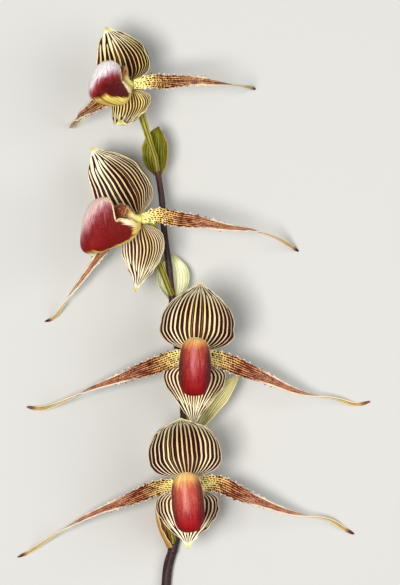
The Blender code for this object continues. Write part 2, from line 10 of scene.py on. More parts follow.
import bpy
import mathutils
import numpy as np
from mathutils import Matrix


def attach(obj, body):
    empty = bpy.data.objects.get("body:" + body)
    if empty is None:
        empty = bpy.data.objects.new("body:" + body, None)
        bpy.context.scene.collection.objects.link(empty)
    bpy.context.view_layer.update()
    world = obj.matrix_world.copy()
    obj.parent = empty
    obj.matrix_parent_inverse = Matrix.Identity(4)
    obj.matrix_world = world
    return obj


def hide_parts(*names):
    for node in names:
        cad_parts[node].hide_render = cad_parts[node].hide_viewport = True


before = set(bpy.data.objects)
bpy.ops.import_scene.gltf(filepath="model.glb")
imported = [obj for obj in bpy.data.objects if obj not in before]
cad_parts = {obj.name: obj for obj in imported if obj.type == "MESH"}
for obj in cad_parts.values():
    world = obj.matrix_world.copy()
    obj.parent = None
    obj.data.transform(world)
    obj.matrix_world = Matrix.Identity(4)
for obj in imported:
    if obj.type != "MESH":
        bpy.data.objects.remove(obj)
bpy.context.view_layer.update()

MM = 0.001
MIDDLE = (0.15, -2.98, 0)  # what the routes below call the middle of the part's underside

# The photograph's view
PHOTO_HEIGHT = 585  # pixels
PIXEL = 0.59  # millimetres of the part
VIEW_MIDDLE = (3.685, 28.055)  # the point of the part that lies at the picture's middle
VIEW_PLANE = 45  # height above the floor at which a pixel is that size
VIEW_DISTANCE = 2000  # from that height up to the camera
SENSOR = 36  # the camera's

# Driving dimensions, as in the part's source
SEPAL_DEPTH = 5.2
CLEAR = 0.35  # gap between a piece and what carries it
BLADE = 0.9  # thickness of petals and bracts
LOWEST = 0.02  # no point of a piece lies lower, above the floor
POUCH_WALL = 1
STEM_RADII = [(0, 2.95), (0.35, 2.75), (0.75, 2.05), (1, 1.75)]
COLUMN_RADIUS = 2.9
SEAT = COLUMN_RADIUS + CLEAR  # where sepals and petals begin, from the column's middle
PETAL_WIDTH = [
    (0, 3.3), (0.06, 4.4), (0.16, 4.95), (0.24, 4.45), (0.32, 3.6), (0.42, 2.75), (0.55, 2.1),
    (0.66, 1.7), (0.8, 1.3), (0.9, 1.25), (0.97, 1), (1, 0.5),
]
PETAL_TURNS = [
    (0.45, (0, 0.25, 1)), (0.58, (0, 0.9, 0.8)), (0.66, (0, 1, 0)), (0.76, (0, 0.8, -0.8)),
    (0.88, (0, 0, -1)), (1, (0, 0, -1)),
]
WART_HEIGHT = 0.65
WART_REACH = 0.42  # how far along a petal the warts go
WARTS = 22  # bead places along a petal's edge, every other one on a wart
DORSAL_SHAPE = {
    "height": [(0, 0), (0.06, 0.025), (0.12, 0.07), (0.2, 0.16), (0.3, 0.29), (0.42, 0.45),
               (0.54, 0.62), (0.66, 0.77), (0.78, 0.86), (0.89, 0.93), (1, 1)],
    "behind": [(0, 0), (0.12, 0.4), (0.3, 1), (0.5, 0.8), (0.7, 0), (1, 0)],
    "reach": [(0, 0), (0.42, 0.02), (0.54, 0.1), (0.66, 0.26), (0.78, 0.52), (0.89, 0.76),
              (1, 1)],
    "wide": [(0, 4), (0.06, 10), (0.12, 15.6), (0.2, 20), (0.3, 21.8), (0.42, 21.4),
             (0.54, 18.4), (0.66, 13.2), (0.78, 8.3), (0.89, 4.1), (0.96, 1.6), (1, 0.6)],
    "rise": [(0, 0.3), (0.06, 0.8), (0.12, 3), (0.2, 10.5), (0.3, 18), (0.42, 20.5),
             (0.54, 18.5), (0.66, 15.5), (0.78, 10), (0.89, 4.5), (1, 0.3)],
}
ROUND_DORSAL_SHAPE = {
    **DORSAL_SHAPE,
    "wide": [(0, 4), (0.06, 10), (0.12, 15.6), (0.2, 20), (0.3, 22.3), (0.42, 22.3),
             (0.54, 20), (0.66, 16.4), (0.76, 12.6), (0.86, 7.4), (0.94, 3), (1, 0.6)],
}
SYNSEPAL_SHAPE = {
    "height": [(0, 0), (0.06, 0.04), (0.14, 0.12), (0.25, 0.23), (0.5, 0.49), (0.75, 0.76),
               (1, 1)],
    "behind": [(0, 0), (0.15, 0.5), (0.4, 1), (0.7, 0.5), (1, 0)],
    "reach": [(0, 0), (0.4, 0.04), (0.7, 0.35), (1, 1)],
    "wide": [(0, 4), (0.06, 10), (0.14, 16.2), (0.24, 18.4), (0.36, 17.4), (0.5, 13.6),
             (0.64, 9), (0.77, 5), (0.88, 2.4), (0.95, 1.3), (1, 0.6)],
    "rise": [(0, 0.3), (0.06, 0.8), (0.14, 2), (0.25, 5.8), (0.45, 9.2), (0.64, 6),
             (0.8, 2.6), (1, 0.3)],
}
BROAD_SYNSEPAL_SHAPE = {
    **SYNSEPAL_SHAPE,
    "wide": [(0, 4), (0.06, 10), (0.14, 15.8), (0.26, 18), (0.4, 17.8), (0.54, 15.4),
             (0.68, 11), (0.8, 6), (0.88, 3.2), (0.95, 1.5), (1, 0.6)],
}
CURLED_SYNSEPAL_SHAPE = {
    **SYNSEPAL_SHAPE,
    "height": [(0, 0), (0.06, 0.04), (0.14, 0.12), (0.25, 0.24), (0.5, 0.52), (0.7, 0.78),
               (0.82, 0.95), (0.9, 1), (1, 0.9)],
    "reach": [(0, 0), (0.4, 0.05), (0.65, 0.25), (0.8, 0.55), (0.9, 0.8), (1, 1)],
    "wide": [(0, 4), (0.06, 9.5), (0.14, 14.5), (0.3, 16.8), (0.52, 15.2), (0.68, 12),
             (0.8, 8.4), (0.88, 5.6), (0.95, 3), (1, 1.4)],
    "rise": [(0, 0.3), (0.06, 0.8), (0.14, 2), (0.25, 5), (0.45, 8), (0.7, 7),
             (0.85, 4.5), (0.95, 2), (1, 0.5)],
}
BRACT_WIDTH = [(0, 5), (0.15, 8), (0.45, 10), (0.7, 8.2), (0.88, 4.2), (1, 0.6)]

# How finely the pieces are cut
SEPAL_ROWS, SEPAL_COLUMNS = 72, 114
PETAL_ROWS, PETAL_COLUMNS = 320, 20
BRACT_ROWS, BRACT_COLUMNS = 60, 42
TOE_ROWS, SOLE_ROWS, LIP_SIDES = 26, 44, 112
STALK_RINGS, STALK_SIDES = 90, 36
STEM_RINGS, STEM_SIDES = 260, 36
COLUMN_RINGS, COLUMN_SIDES = 60, 32
RIM_RINGS, RIM_SIDES = 200, 10

# Hairs: how many on a piece, an edge of a petal or a bead, and between which lengths
STEM_HAIRS, OVARY_HAIRS, COLUMN_HAIRS = (2600, (0.35, 0.8)), (700, (0.35, 0.8)), (1100, (0.5, 1.6))
SEPAL_HAIRS, LIP_HAIRS = (300, (0.5, 1.1)), (700, (0.4, 1))
PETAL_HAIRS, BEAD_HAIRS = (90, (0.3, 0.7)), (3, (0.8, 1.5))
COARSE, FINE, FINEST = 0.035, 0.03, 0.025  # their radii at the root
HAIR_DROOP = 0.25  # how far a tip hangs, as a share of the hair's length

# Half the thickness of the sheets at their middle
HALF_SEPAL, HALF_PETAL, HALF_BRACT = 0.4, 0.38, 0.36

# The studio: each lamp's place and width in metres, its watts and its colour, what the lamps
# point at, the colours of floor and sky, and how bright the sky is
LAMPS = {
    "key": ((-0.42, -0.1, 2.1), 0.6, 50, (1, 0.97, 0.93)),
    "fill": ((1.1, 0.1, 1.7), 1.4, 22, (0.97, 0.98, 1)),
}
AIM = (0, 0.02, 0.03)
FLOOR_TONE, SKY_TONE, SKY_STRENGTH = (0.5, 0.5, 0.48, 1), (0.9, 0.94, 1, 1), 0.2
FLOOR_REACH = 3  # metres

# Stripes across each bloom's upper sepal and across a lower one, the share of them that is left
# on the way from base to tip, and fine veins across a petal
DORSAL_STRIPES = {1: 14, 2: 16, 3: 17, 4: 17}
SYNSEPAL_STRIPES = 16
STRIPES_LEFT = [(0, 1), (0.5, 1), (0.7, 0.93), (0.85, 0.78), (0.94, 0.62), (1, 0.5)]
PETAL_VEINS = 7

STEM_ROUTE = [
    (-20.3, -187.3, 2.95), (-16.6, -151.1, 3.6), (-14.8, -137.2, 4.4), (-12.4, -129.3, 5),
    (-8.8, -99.7, 7), (-5.8, -63.5, 9.5), (-5.8, -42.4, 11), (-9.3, -9.4, 13.5),
    (-12.9, 22.4, 16.5), (-15.1, 43.3, 18.5), (-17.9, 65.4, 21), (-19.6, 86.2, 23),
    (-21.8, 98.1, 24),
]

BLOOMS = {
    1: {
        "centre": (-36.9, 147.5, 44), "yaw": 30, "pitch": 9, "roll": 4, "size": 0.88,
        "dorsal": ((37.3, 19.9), 0.88, 0.67, 13), "synsepal": ((28.6, 10.5), 0.89, 0.66, -2.9),
        "synsepal_shape": CURLED_SYNSEPAL_SHAPE, "lip": (0.92, -2.5, 3, 1.1),
        "petals": (1, 0.95), "twist": (0, 0),
        "left": [(-8.5, -4.4, -2), (-16, -9, 0.5), (-23.1, -13.3, -2), (-29.2, -16.5, -9),
                 (-33.7, -20.2, -19), (-36.2, -22.7, -30), (-35.7, -22.4, -40),
                 (-31.6, -18, -43.6), (-24, -13.5, -43.6)],
        "right": [(10.5, 1.6, 6), (20.3, 0.8, 15.5), (30.3, 1, 22), (40.8, 1, 23),
                  (50.1, 0.3, 16), (59.6, 0.1, 1), (66.4, 0.5, -17), (70.8, 0.7, -34),
                  (73.9, 0.3, -43.6)],
        "stalk": [(-21.6, 96.8, 23.9), (-22.6, 104, 26.3), (-25.5, 113.3, 29.5),
                  (-28.4, 122.6, 32.5), (-31, 131.9, 35)],
        "bract": [95, (-21.6, 103.1, 18), (-21.6, 110.8, 18), (-21.2, 117.9, 21),
                  (-20.8, 123.6, 26)],
        "bract_faces": [(0, (-0.1, 0, 1)), (0.4, (-0.3, 0, 0.95)), (1, (-0.3, 0, 0.95))],
    },
    2: {
        "centre": (-31.6, 68.5, 42), "yaw": 42, "pitch": -6, "roll": 7, "size": 1,
        "dorsal": ((50.2, 10.7), 0.97, 0.55, 22.5), "synsepal": ((42.4, 5.5), 0.93, 0.6, -10.3),
        "synsepal_shape": BROAD_SYNSEPAL_SHAPE,
        "lip": (1, 0, 0, 1), "petals": (0.8, 0.86), "twist": (0.12, 0),
        "left": [(-8, -4.5, -6), (-15.5, -11, -11), (-23, -19.6, -14.5),
                 (-30, -28.9, -18.5), (-36.8, -37.8, -23.5), (-43.6, -46.7, -29.5),
                 (-50, -55.8, -36), (-54.4, -59.7, -40.8), (-58, -60.9, -41.6)],
        "right": [(7.2, 1.6, 6), (20.8, 0, 12), (35.5, -2.1, 14), (50.2, -4.9, 10),
                  (65, -6.5, 0), (77.1, -9.2, -14), (87, -13.8, -29),
                  (94.6, -18.4, -41.6)],
        "stalk": [(-12.9, 23.6, 17), (-15.3, 29, 19.5), (-18.8, 38.5, 23.5),
                  (-22.4, 49, 28.5)],
        "bract": [20.6, (-12.4, 26.6, 9), (-12.4, 33.8, 7), (-12.8, 41, 6.5),
                  (-13.6, 48.2, 8)], "bract_size": 1.2,
        "bract_faces": [(0, (0, 0, 1)), (1, (0, 0.1, 1))],
    },
    3: {
        "centre": (0.9, -12.4, 42), "yaw": 0, "pitch": -8, "roll": -1.5, "size": 1,
        "dorsal": ((47.5, 27.5), 1, 1, -2.5), "synsepal": ((42, 8), 1, 1, 0),
        "lip": (1, 0, 0, 1), "petals": (0.95, 1), "twist": (0, 0.05),
        "left": [(-17.7, -3.4, 0), (-32.6, -8.9, -3), (-47.5, -14.4, -8),
                 (-61.3, -19.6, -15), (-74.8, -25.9, -24), (-87.2, -31, -33.5),
                 (-94.7, -32.4, -40), (-101.4, -31.5, -41.6)],
        "right": [(16, -2.6, 0), (29.6, -8.2, -3.5), (44.5, -14.4, -9), (59.6, -21.2, -17.5),
                  (74.9, -24.8, -28), (88.4, -27.5, -36.5), (98.2, -30, -41),
                  (105.5, -28.2, -41.6)],
        "stalk": [(-5.2, -63.5, 10), (-3.6, -58, 13), (-2.1, -47, 18.5),
                  (-0.3, -33.5, 24.5)],
        "bract": [-68, (0.9, -61.1, 9), (6.8, -51.4, 12), (14, -40.4, 17),
                  (21.1, -31.3, 22), (26.5, -24.7, 25)],
        "bract_faces": [(0, (-1, 0, 0.1)), (0.25, (-0.8, 0.2, 0.5)), (0.6, (-0.5, 0.3, 0.8)),
                        (1, (-0.4, 0.25, 0.85))],
    },
    4: {
        "centre": (-3.3, -88.2, 40), "yaw": 0, "pitch": -13, "roll": 5, "size": 1,
        "dorsal": ((47.5, 27), 0.95, 0.85, 0), "synsepal": ((37.5, 7), 1, 1, -5),
        "dorsal_shape": ROUND_DORSAL_SHAPE, "synsepal_shape": BROAD_SYNSEPAL_SHAPE,
        "lip": (1, 0, 0, 1), "petals": (0.84, 0.97), "twist": (0.05, 0.05),
        "left": [(-13.6, -1, 1.5), (-25.5, -5.2, -2.5), (-40.4, -11.7, -8),
                 (-55.5, -18.1, -15), (-70.7, -26.5, -24), (-86.1, -36.4, -33),
                 (-96.6, -43.5, -38.8), (-102.7, -46.3, -39.6)],
        "right": [(15.4, 0.6, 0), (29.6, -5.4, -3.5), (43.9, -11.5, -9), (59.6, -17.7, -17.5),
                  (74.2, -21, -26.5), (86.5, -24.2, -34), (94.5, -29.3, -38.5),
                  (100, -32.4, -39.6)],
        "stalk": [(-12.2, -126, 5.5), (-12.7, -121.5, 9.5), (-13.3, -115.1, 15),
                  (-10.5, -106.6, 20)],
        "bract": [-128.6, (-18.2, -122, 6.5), (-20.5, -114.5, 8.5), (-21.4, -106.5, 11),
                  (-20.6, -98.5, 14), (-19, -92, 17)],
        "bract_faces": [(0, (1, -0.1, 0)), (0.25, (0.95, 0.1, 0.3)), (1, (0.75, 0, 0.65))],
        "bract_wrap": 88,
    },
}

# Each bloom's colours, some of them painted light. sole is how far up the lip's side its yellow
# underside goes, toe how far along to its toe, slant how much its pale top leans to the left, partly
# a painted sheen on the side towards the lamp, sides how dark its sides are, which is painted shade,
# and painted_highlight_at where across its painted highlight lies. A bract's colours are its ground, its
# pale and its dark parts. gold is how yellow a petal stays, rows and dashes how many spots lie across and
# along it. light and tip are the colours of a sepal's ground and of its tip, rim that of a bract's edges,
# and veil darkens the lip's sides as painted shade and its veins as their own colour.
TINTS = {
    1: {
        "lip": [(0.02, "#540707"), (0.14, "#801a16"), (0.23, "#96484e"), (0.31, "#c49aa8"),
                (0.42, "#efe4e8"), (0.8, "#fffcfa")],
        "sole": 0.24, "toe": 0.9, "painted_sheen_lean": 0.4, "sides": 0.25, "painted_highlight": "#fff8f2", "painted_highlight_at": -0.16,
        "side_shade_and_vein": "#4c1012", "bract": ["#5c5a14", "#8e8c28", "#262606"], "rim": "#a8904a",
        "light": "#f7e796", "tip": "#b5b848", "petal_tip": "#3a0d1c", "gold": 0.45, "rows": 6,
        "dashes": 52,
    },
    2: {
        # Bloom 2's lip pales towards its top partly in its own colour and partly as a painted sheen.
        "lip": [(0, "#76120f"), (0.16, "#74161a"), (0.32, "#852b34"), (0.47, "#b06c76"),
                (0.68, "#efd2c8")],
        "sole": 0.15, "toe": 0.92, "painted_sheen_lean": 0.45, "sides": 0.15, "painted_highlight": "#e0b0b4", "painted_highlight_at": 0.16,
        "side_shade_and_vein": "#640f0d", "bract": ["#dcdcae", "#eaeaca", "#a2ac58"], "rim": "#c4cf84",
        "light": "#fdecc4", "tip": "#c6bd4e", "petal_tip": "#480f20", "gold": 0.15, "rows": 7,
        "dashes": 62,
    },
    3: {
        "lip": [(0.04, "#7c0609"), (0.3, "#8a0f14"), (0.56, "#982a2c"), (0.84, "#a8422e"),
                (0.93, "#dc944c"), (1, "#f6cc80")],
        "sole": 0.1, "toe": 0.55, "painted_sheen_lean": 0.03, "sides": 0.95, "painted_highlight": "#cf8084", "painted_highlight_at": -0.1,
        # Bloom 3's bract colours are brighter than its own, as painted light against the bloom's shade on
        # it.
        "side_shade_and_vein": "#420405", "bract": ["#fff08a", "#fff9c8", "#6e5a1a"], "rim": "#f0dc98",
        "light": "#feeabf", "tip": "#d9cb78", "petal_tip": "#7c4a34", "gold": 0, "rows": 7,
        "dashes": 66,
    },
    4: {
        "lip": [(0.04, "#820a0c"), (0.3, "#96161a"), (0.5, "#a43834"), (0.82, "#b5523c"),
                (0.92, "#e2a65c"), (1, "#f6d488")],
        "sole": 0.1, "toe": 0.55, "painted_sheen_lean": 0.03, "sides": 0.85, "painted_highlight": "#de968a", "painted_highlight_at": -0.1,
        "side_shade_and_vein": "#480506", "bract": ["#c07a2c", "#e0a452", "#7c4612"], "rim": "#f0dea8",
        "light": "#feebc2", "tip": "#cfca66", "petal_tip": "#5c2c26", "gold": 0, "rows": 7,
        "dashes": 66,
    },
}
# The share of the width that a sepal's dark stripes take from base to tip, upper and lower sepal
SEPAL_DARK = {
    1: [(0, 0.62), (0.15, 0.72), (0.5, 0.7), (0.7, 0.57), (0.82, 0.4), (0.91, 0.22), (1, 0.08)],
    -1: [(0, 0.58), (0.25, 0.62), (0.5, 0.61), (0.7, 0.58), (0.84, 0.5), (0.93, 0.36), (1, 0.1)],
}


# Curves and profiles

def unit(v):
    """The vectors, each made 1 long."""
    v = np.asarray(v, float)
    return v / np.maximum(np.linalg.norm(v, axis=-1, keepdims=True), 1e-12)


def smooth_route(points, count):
    """Points on a natural cubic spline through the given ones, at even or given stations."""
    p = np.array(points, float)
    chord = np.linalg.norm(np.diff(p, axis=0), axis=1)
    knot = np.concatenate([[0.0], np.cumsum(chord)])
    n = len(p)
    rows, sums = np.eye(n), np.zeros_like(p)
    for i in range(1, n - 1):
        rows[i, i - 1 : i + 2] = chord[i - 1], 2 * (chord[i - 1] + chord[i]), chord[i]
        sums[i] = 6 * ((p[i + 1] - p[i]) / chord[i] - (p[i] - p[i - 1]) / chord[i - 1])
    bend = np.linalg.solve(rows, sums)

    def at(s):
        i = np.clip(np.searchsorted(knot, s) - 1, 0, n - 2)
        h = chord[i][:, None]
        a, b = (knot[i + 1] - s)[:, None], (s - knot[i])[:, None]
        return (
            bend[i] * a**3 / (6 * h) + bend[i + 1] * b**3 / (6 * h)
            + (p[i] / h - bend[i] * h / 6) * a + (p[i + 1] / h - bend[i + 1] * h / 6) * b
        )

    dense = at(np.linspace(0, knot[-1], 200 * n))
    along = np.concatenate([[0.0], np.cumsum(np.linalg.norm(np.diff(dense, axis=0), axis=1))])
    stations = count if np.ndim(count) else np.linspace(0, 1, count)
    wanted = np.asarray(stations) * along[-1]
    return np.stack([np.interp(wanted, along, dense[:, k]) for k in range(3)], axis=1)


def profile(keys, t):
    """A smooth curve through (t, value) keys that never overshoots them."""
    x, y = np.array(keys, float).T
    h, slope = np.diff(x), np.diff(y) / np.diff(x)
    tangent = np.concatenate([[slope[0]], (slope[1:] + slope[:-1]) / 2, [slope[-1]]])
    for i in range(1, len(x) - 1):
        if slope[i - 1] * slope[i] <= 0:
            tangent[i] = 0.0
        else:
            limit = 3 * min(abs(slope[i - 1]), abs(slope[i]))
            tangent[i] = math.copysign(min(abs(tangent[i]), limit), tangent[i])
    t = np.clip(t, x[0], x[-1])
    i = np.clip(np.searchsorted(x, t, side="right") - 1, 0, len(x) - 2)
    s = (t - x[i]) / h[i]
    return (
        y[i] * (1 + 2 * s) * (1 - s) ** 2 + y[i + 1] * s**2 * (3 - 2 * s)
        + h[i] * (tangent[i] * s * (1 - s) ** 2 - tangent[i + 1] * s**2 * (1 - s))
    )


def directions(route):
    """Which way the route runs at each of its points."""
    return unit(np.gradient(route, axis=0))


def facing(keys, t, along):
    """Unit normals that follow the keyed directions, each square to the route."""
    x = [k[0] for k in keys]
    n = np.stack([np.interp(t, x, [k[1][axis] for k in keys]) for axis in range(3)], axis=1)
    n -= along * np.sum(n * along, axis=1, keepdims=True)
    return unit(n)


def waves(t, seed, low, high):
    """A slow irregular wave, mostly between -1 and 1, of four sines with seeded phases."""
    draw = np.random.default_rng(seed)
    rates = draw.uniform(low, high, 4)
    phases = draw.uniform(0, 2 * math.pi, 4)
    return sum(np.sin(2 * math.pi * r * t + p) for r, p in zip(rates, phases)) / 2.6


def edge_waves(t, u, seed, other, low, high):
    """Waves along two edges: those of seed where u is over 0, else those of other."""
    return np.where(u > 0, waves(t, seed, low, high), waves(t, other, low, high))


def within(x):
    """The numbers, kept between 0 and 1."""
    return np.clip(x, 0, 1)


def hump(x, wide):
    """A bump of height 1 round 0, so wide to each side."""
    return np.exp(-((x / wide) ** 2))


def kept_above(points, low):
    """The points themselves, with none lower than low."""
    points[..., 2] = np.maximum(points[..., 2], low)
    return points


# The bloom's frame

def bloom_axes(bloom):
    """The bloom's own axes as columns, in the part's frame."""
    axes = np.eye(3)
    for key, i, j in (("yaw", 0, 2), ("pitch", 2, 1), ("roll", 0, 1)):
        angle = math.radians(bloom[key])
        turn = np.eye(3)
        turn[i, i] = turn[j, j] = math.cos(angle)
        turn[i, j], turn[j, i] = -math.sin(angle), math.sin(angle)
        axes = axes @ turn
    return axes


def placed(bloom, points):
    """Points of the bloom's own frame, in the part's frame."""
    return np.array(bloom["centre"]) + bloom["size"] * np.asarray(points) @ bloom_axes(bloom).T


# Numbers that materials work out

def colour(text):
    """A screen colour such as "#aabbcc" as the linear colour that Blender uses."""
    parts = [int(text[i : i + 2], 16) / 255 for i in (1, 3, 5)]
    return (*(c / 12.92 if c < 0.04045 else ((c + 0.055) / 1.055) ** 2.4 for c in parts), 1.0)


def feed(tree, slot, value):
    """Sets a node's input to a number, a colour such as "#aabbcc", or another node's output."""
    if isinstance(value, Value):
        tree.links.new(value.socket, slot)
    else:
        slot.default_value = colour(value) if isinstance(value, str) else value


def made(tree, kind, fed, result=0, **settings):
    """A result of a new node. fed says what its inputs get, by name or number."""
    node = tree.nodes.new("ShaderNode" + kind)
    for name, value in settings.items():
        setattr(node, name, value)
    for name, value in fed.items():
        feed(tree, node.inputs[name], value)
    return Value(tree, node.outputs[result])


class Value:
    """An output of a material's nodes. Sums over values make the nodes that work them out."""

    def __init__(self, tree, socket):
        self.tree, self.socket = tree, socket

    def math(self, operation, *others):
        return made(self.tree, "Math", dict(enumerate((self, *others))), operation=operation)

    def __add__(self, other):
        return self.math("ADD", other)

    def __sub__(self, other):
        return self.math("SUBTRACT", other)

    def __mul__(self, other):
        return self.math("MULTIPLY", other)

    def __abs__(self):
        return self.math("ABSOLUTE")

    def flipped(self):
        """1 less the value."""
        return self * -1 + 1

    def floor(self):
        return self.math("FLOOR")

    def most(self, other):
        """The greater of the two."""
        return self.math("MAXIMUM", other)

    def step(self, low, high):
        """0 up to low, 1 from high on, smooth between."""
        fed = {"Value": self, "From Min": low, "From Max": high}
        return made(self.tree, "MapRange", fed, "Result", interpolation_type="SMOOTHSTEP")


class Pattern:
    """A material whose colour and relief follow u (across) and v (along) of its piece."""

    def __init__(self, name, roughness, sheen=0.0, soft=0.0, coat=0.0, shine=0.5):
        self.material = bpy.data.materials.new(name)
        self.material.use_nodes = True
        self.tree = self.material.node_tree
        self.shader = self.tree.nodes["Principled BSDF"].inputs
        settings = {
            "Roughness": roughness, "Specular IOR Level": shine, "Sheen Weight": sheen,
            "Coat Weight": coat, "Coat Roughness": 0.25, "Subsurface Weight": soft,
            "Subsurface Radius": (1.0, 0.45, 0.25), "Subsurface Scale": 1.2 * MM,
        }
        for label, value in settings.items():
            self.shader[label].default_value = value
        place = self.made("UVMap", {}, uv_map="UVMap")
        self.u, self.v = (self.made("SeparateXYZ", {0: place}, k) for k in (0, 1))

    def made(self, kind, fed, result=0, **settings):
        return made(self.tree, kind, fed, result, **settings)

    def point(self, x, y, z=0):
        return self.made("CombineXYZ", {0: x, 1: y, 2: z})

    def lumps(self, x, y, seed, detail):
        """Noise from 0 to 1 with about one lump per unit square of (x, y)."""
        return self.made("TexNoise", {"Vector": self.point(x, y, seed), "Scale": 1, "Detail": detail})

    def noise(self, across, along, seed, detail=2):
        """Noise from 0 to 1 with so many lumps across and along the piece."""
        return self.lumps(self.u * across, self.v * along, seed, detail)

    def grain(self, size, detail=2):
        """Noise from 0 to 1 whose lumps are so many millimetres, alike on every piece."""
        place = self.made("TexCoord", {}, "Object")
        return self.made("TexNoise", {"Vector": place, "Scale": 1 / (size * MM), "Detail": detail})

    def cells(self, x, y):
        """Distance from the nearest of one point per unit square of (x, y)."""
        fed = {"Vector": self.point(x, y), "Scale": 1, "Randomness": 0.9}
        return self.made("TexVoronoi", fed, "Distance", voronoi_dimensions="2D")

    def chance(self, whole, seed):
        """A number from 0 to 1 that is the same wherever the whole number is."""
        fed = {"Vector": self.point(whole, seed)}
        return self.made("TexWhiteNoise", fed, "Value", noise_dimensions="2D")

    def stored(self, name):
        """A number that the mesh keeps at its points."""
        return self.made("Attribute", {}, "Fac", attribute_name=name)

    def ramp(self, value, stops):
        """What the stops [(place, colour or number from 0 to 1), ...] give at value."""
        result = self.made("ValToRGB", {0: value})
        marks = result.socket.node.color_ramp.elements
        while len(marks) < len(stops):
            marks.new(0.5)
        for mark, (place, tone) in zip(marks, stops):
            mark.position = place
            mark.color = colour(tone) if isinstance(tone, str) else (tone, tone, tone, 1)
        return result

    def mix(self, share, first, second):
        """The first colour where share is 0, the second where it is 1."""
        return self.made("Mix", {"Factor": share, 6: first, 7: second}, 2, data_type="RGBA")

    def paint(self, tone, *coats):
        """The colour below coats of (share, colour), each over the ones before it."""
        for share, over in coats:
            tone = self.mix(share, tone, over)
        return tone

    def finish(self, tone, relief=None, depth=0.1):
        """Gives the shader its colour, and its relief in millimetres."""
        feed(self.tree, self.shader["Base Color"], tone)
        if relief:
            bump = self.made("Bump", {"Strength": 1, "Distance": depth * MM, "Height": relief})
            feed(self.tree, self.shader["Normal"], bump)
        return self.material


# Materials

def striped(name, number, up, seed, front):
    """A sepal: dark stripes that run from base to tip and narrow towards both."""
    p = Pattern(name, 0.55, soft=0.06, shine=0.15)
    u, v, tints = p.u, p.v, TINTS[number]
    stripes = DORSAL_STRIPES[number] if up > 0 else SYNSEPAL_STRIPES
    sway = (p.noise(4, 2, seed) - 0.5) * 0.035
    place = (u + sway) * stripes
    stripe, line = place.floor(), (place + 0.5).floor()
    away = abs(place - line) * 2
    middle = p.stored("side") * 0.5
    ragged = (p.noise(stripes * 5, 14, seed + 3.1, 3) - 0.5) * 0.16
    odd = (line * 0.5).math("FRACT") * 2
    early = 0.62 if up > 0 else 0.6
    late = (v + middle * 0.3 - p.chance(line, seed + 2.2) * 0.14 * odd).step(early, early + 0.14)
    share = p.ramp(v, SEPAL_DARK[up]) + (p.chance(line, seed) - 0.5) * 0.2
    share = share + middle.step(0.16, 0.04) * 0.06
    kept = share - share.flipped() * late * (0.9 if up > 0 else 1.2)
    share = p.mix(odd, kept, share.most(late * 1.15))
    dark = (share + away - 1 + ragged).step(-0.07, 0.07)
    dark = dark * (v + middle * 0.1).step(0.96, 0.9)
    thread = (away - 0.86 + ragged * 0.5).step(-0.05, 0.05)
    thread = thread * p.chance(stripe, seed + 7.7).step(0.62, 0.7) * middle.step(0.32, 0.16)
    thread = thread * v.step(0.92, 0.7) * 0.55
    vein = (away * -1 + 0.07 + ragged * 0.3).step(-0.03, 0.04)
    vein = vein * p.chance(line, seed + 4.4).step(0.5, 0.6) * v.step(0.9, 0.6) * v.step(0.05, 0.3) * 0.6
    warm = middle.step(0.26, 0.04) * (p.noise(6, 2, seed + 9) + 0.1) * v.step(0.95, 0.7)
    cream = p.paint(
        tints["light"], (warm, "#efd27c"),
        # Pinker cream on the flanks is partly the sepal's own colour, partly painted light on flanks
        # turned from the lamp.
        (middle.step(0.28, 0.46) * v.step(0.8, 0.3) * 0.45, "#fbe0d4"),
        # Paler towards the tip: partly its own pale cream, partly painted light lifting the hood's shade.
        (v.step(0.45, 0.8) * 0.7, "#fff6dc"),
        (middle.step(0.1, 0.02) * v.step(0.32, 0.22) * 0.4, "#dc9846"),
        (v.step(0.9, 0.99), tints["tip"]), (vein, "#7d5320"),
    )
    ink = p.paint(
        "#1c0303", (p.noise(stripes * 2, 5, seed + 5).step(0.35, 0.75), "#3c0b09"),
        (middle.step(0.34, 0.5) * 0.6, "#4c1016"), (0.1 if up > 0 else 0.4, "#4e170e"),
        (thread, "#8a6a2e"),
    )
    mottle = p.noise(60, 40, seed + 8, 3).step(0.45, 0.62) * middle.step(0.455, 0.475)
    mottle = mottle * v.step(0.8, 0.65) * v.step(0.15, 0.3) * 0.8
    rim = middle.step(0.482, 0.494) * 0.85
    tone = p.paint(cream, (dark, ink), (mottle, "#571a20"), (rim, "#f0e2ba"))
    if not front:
        tone = p.paint(tone, (0.22, "#b5aa48"), (v.step(0.35, 0) * 0.5, "#8f9a38"))
    relief = dark * 0.5 + p.noise(stripes * 9, 40, seed, 3) * 0.5 + p.grain(0.35)
    return p.finish(tone, relief, 0.12)


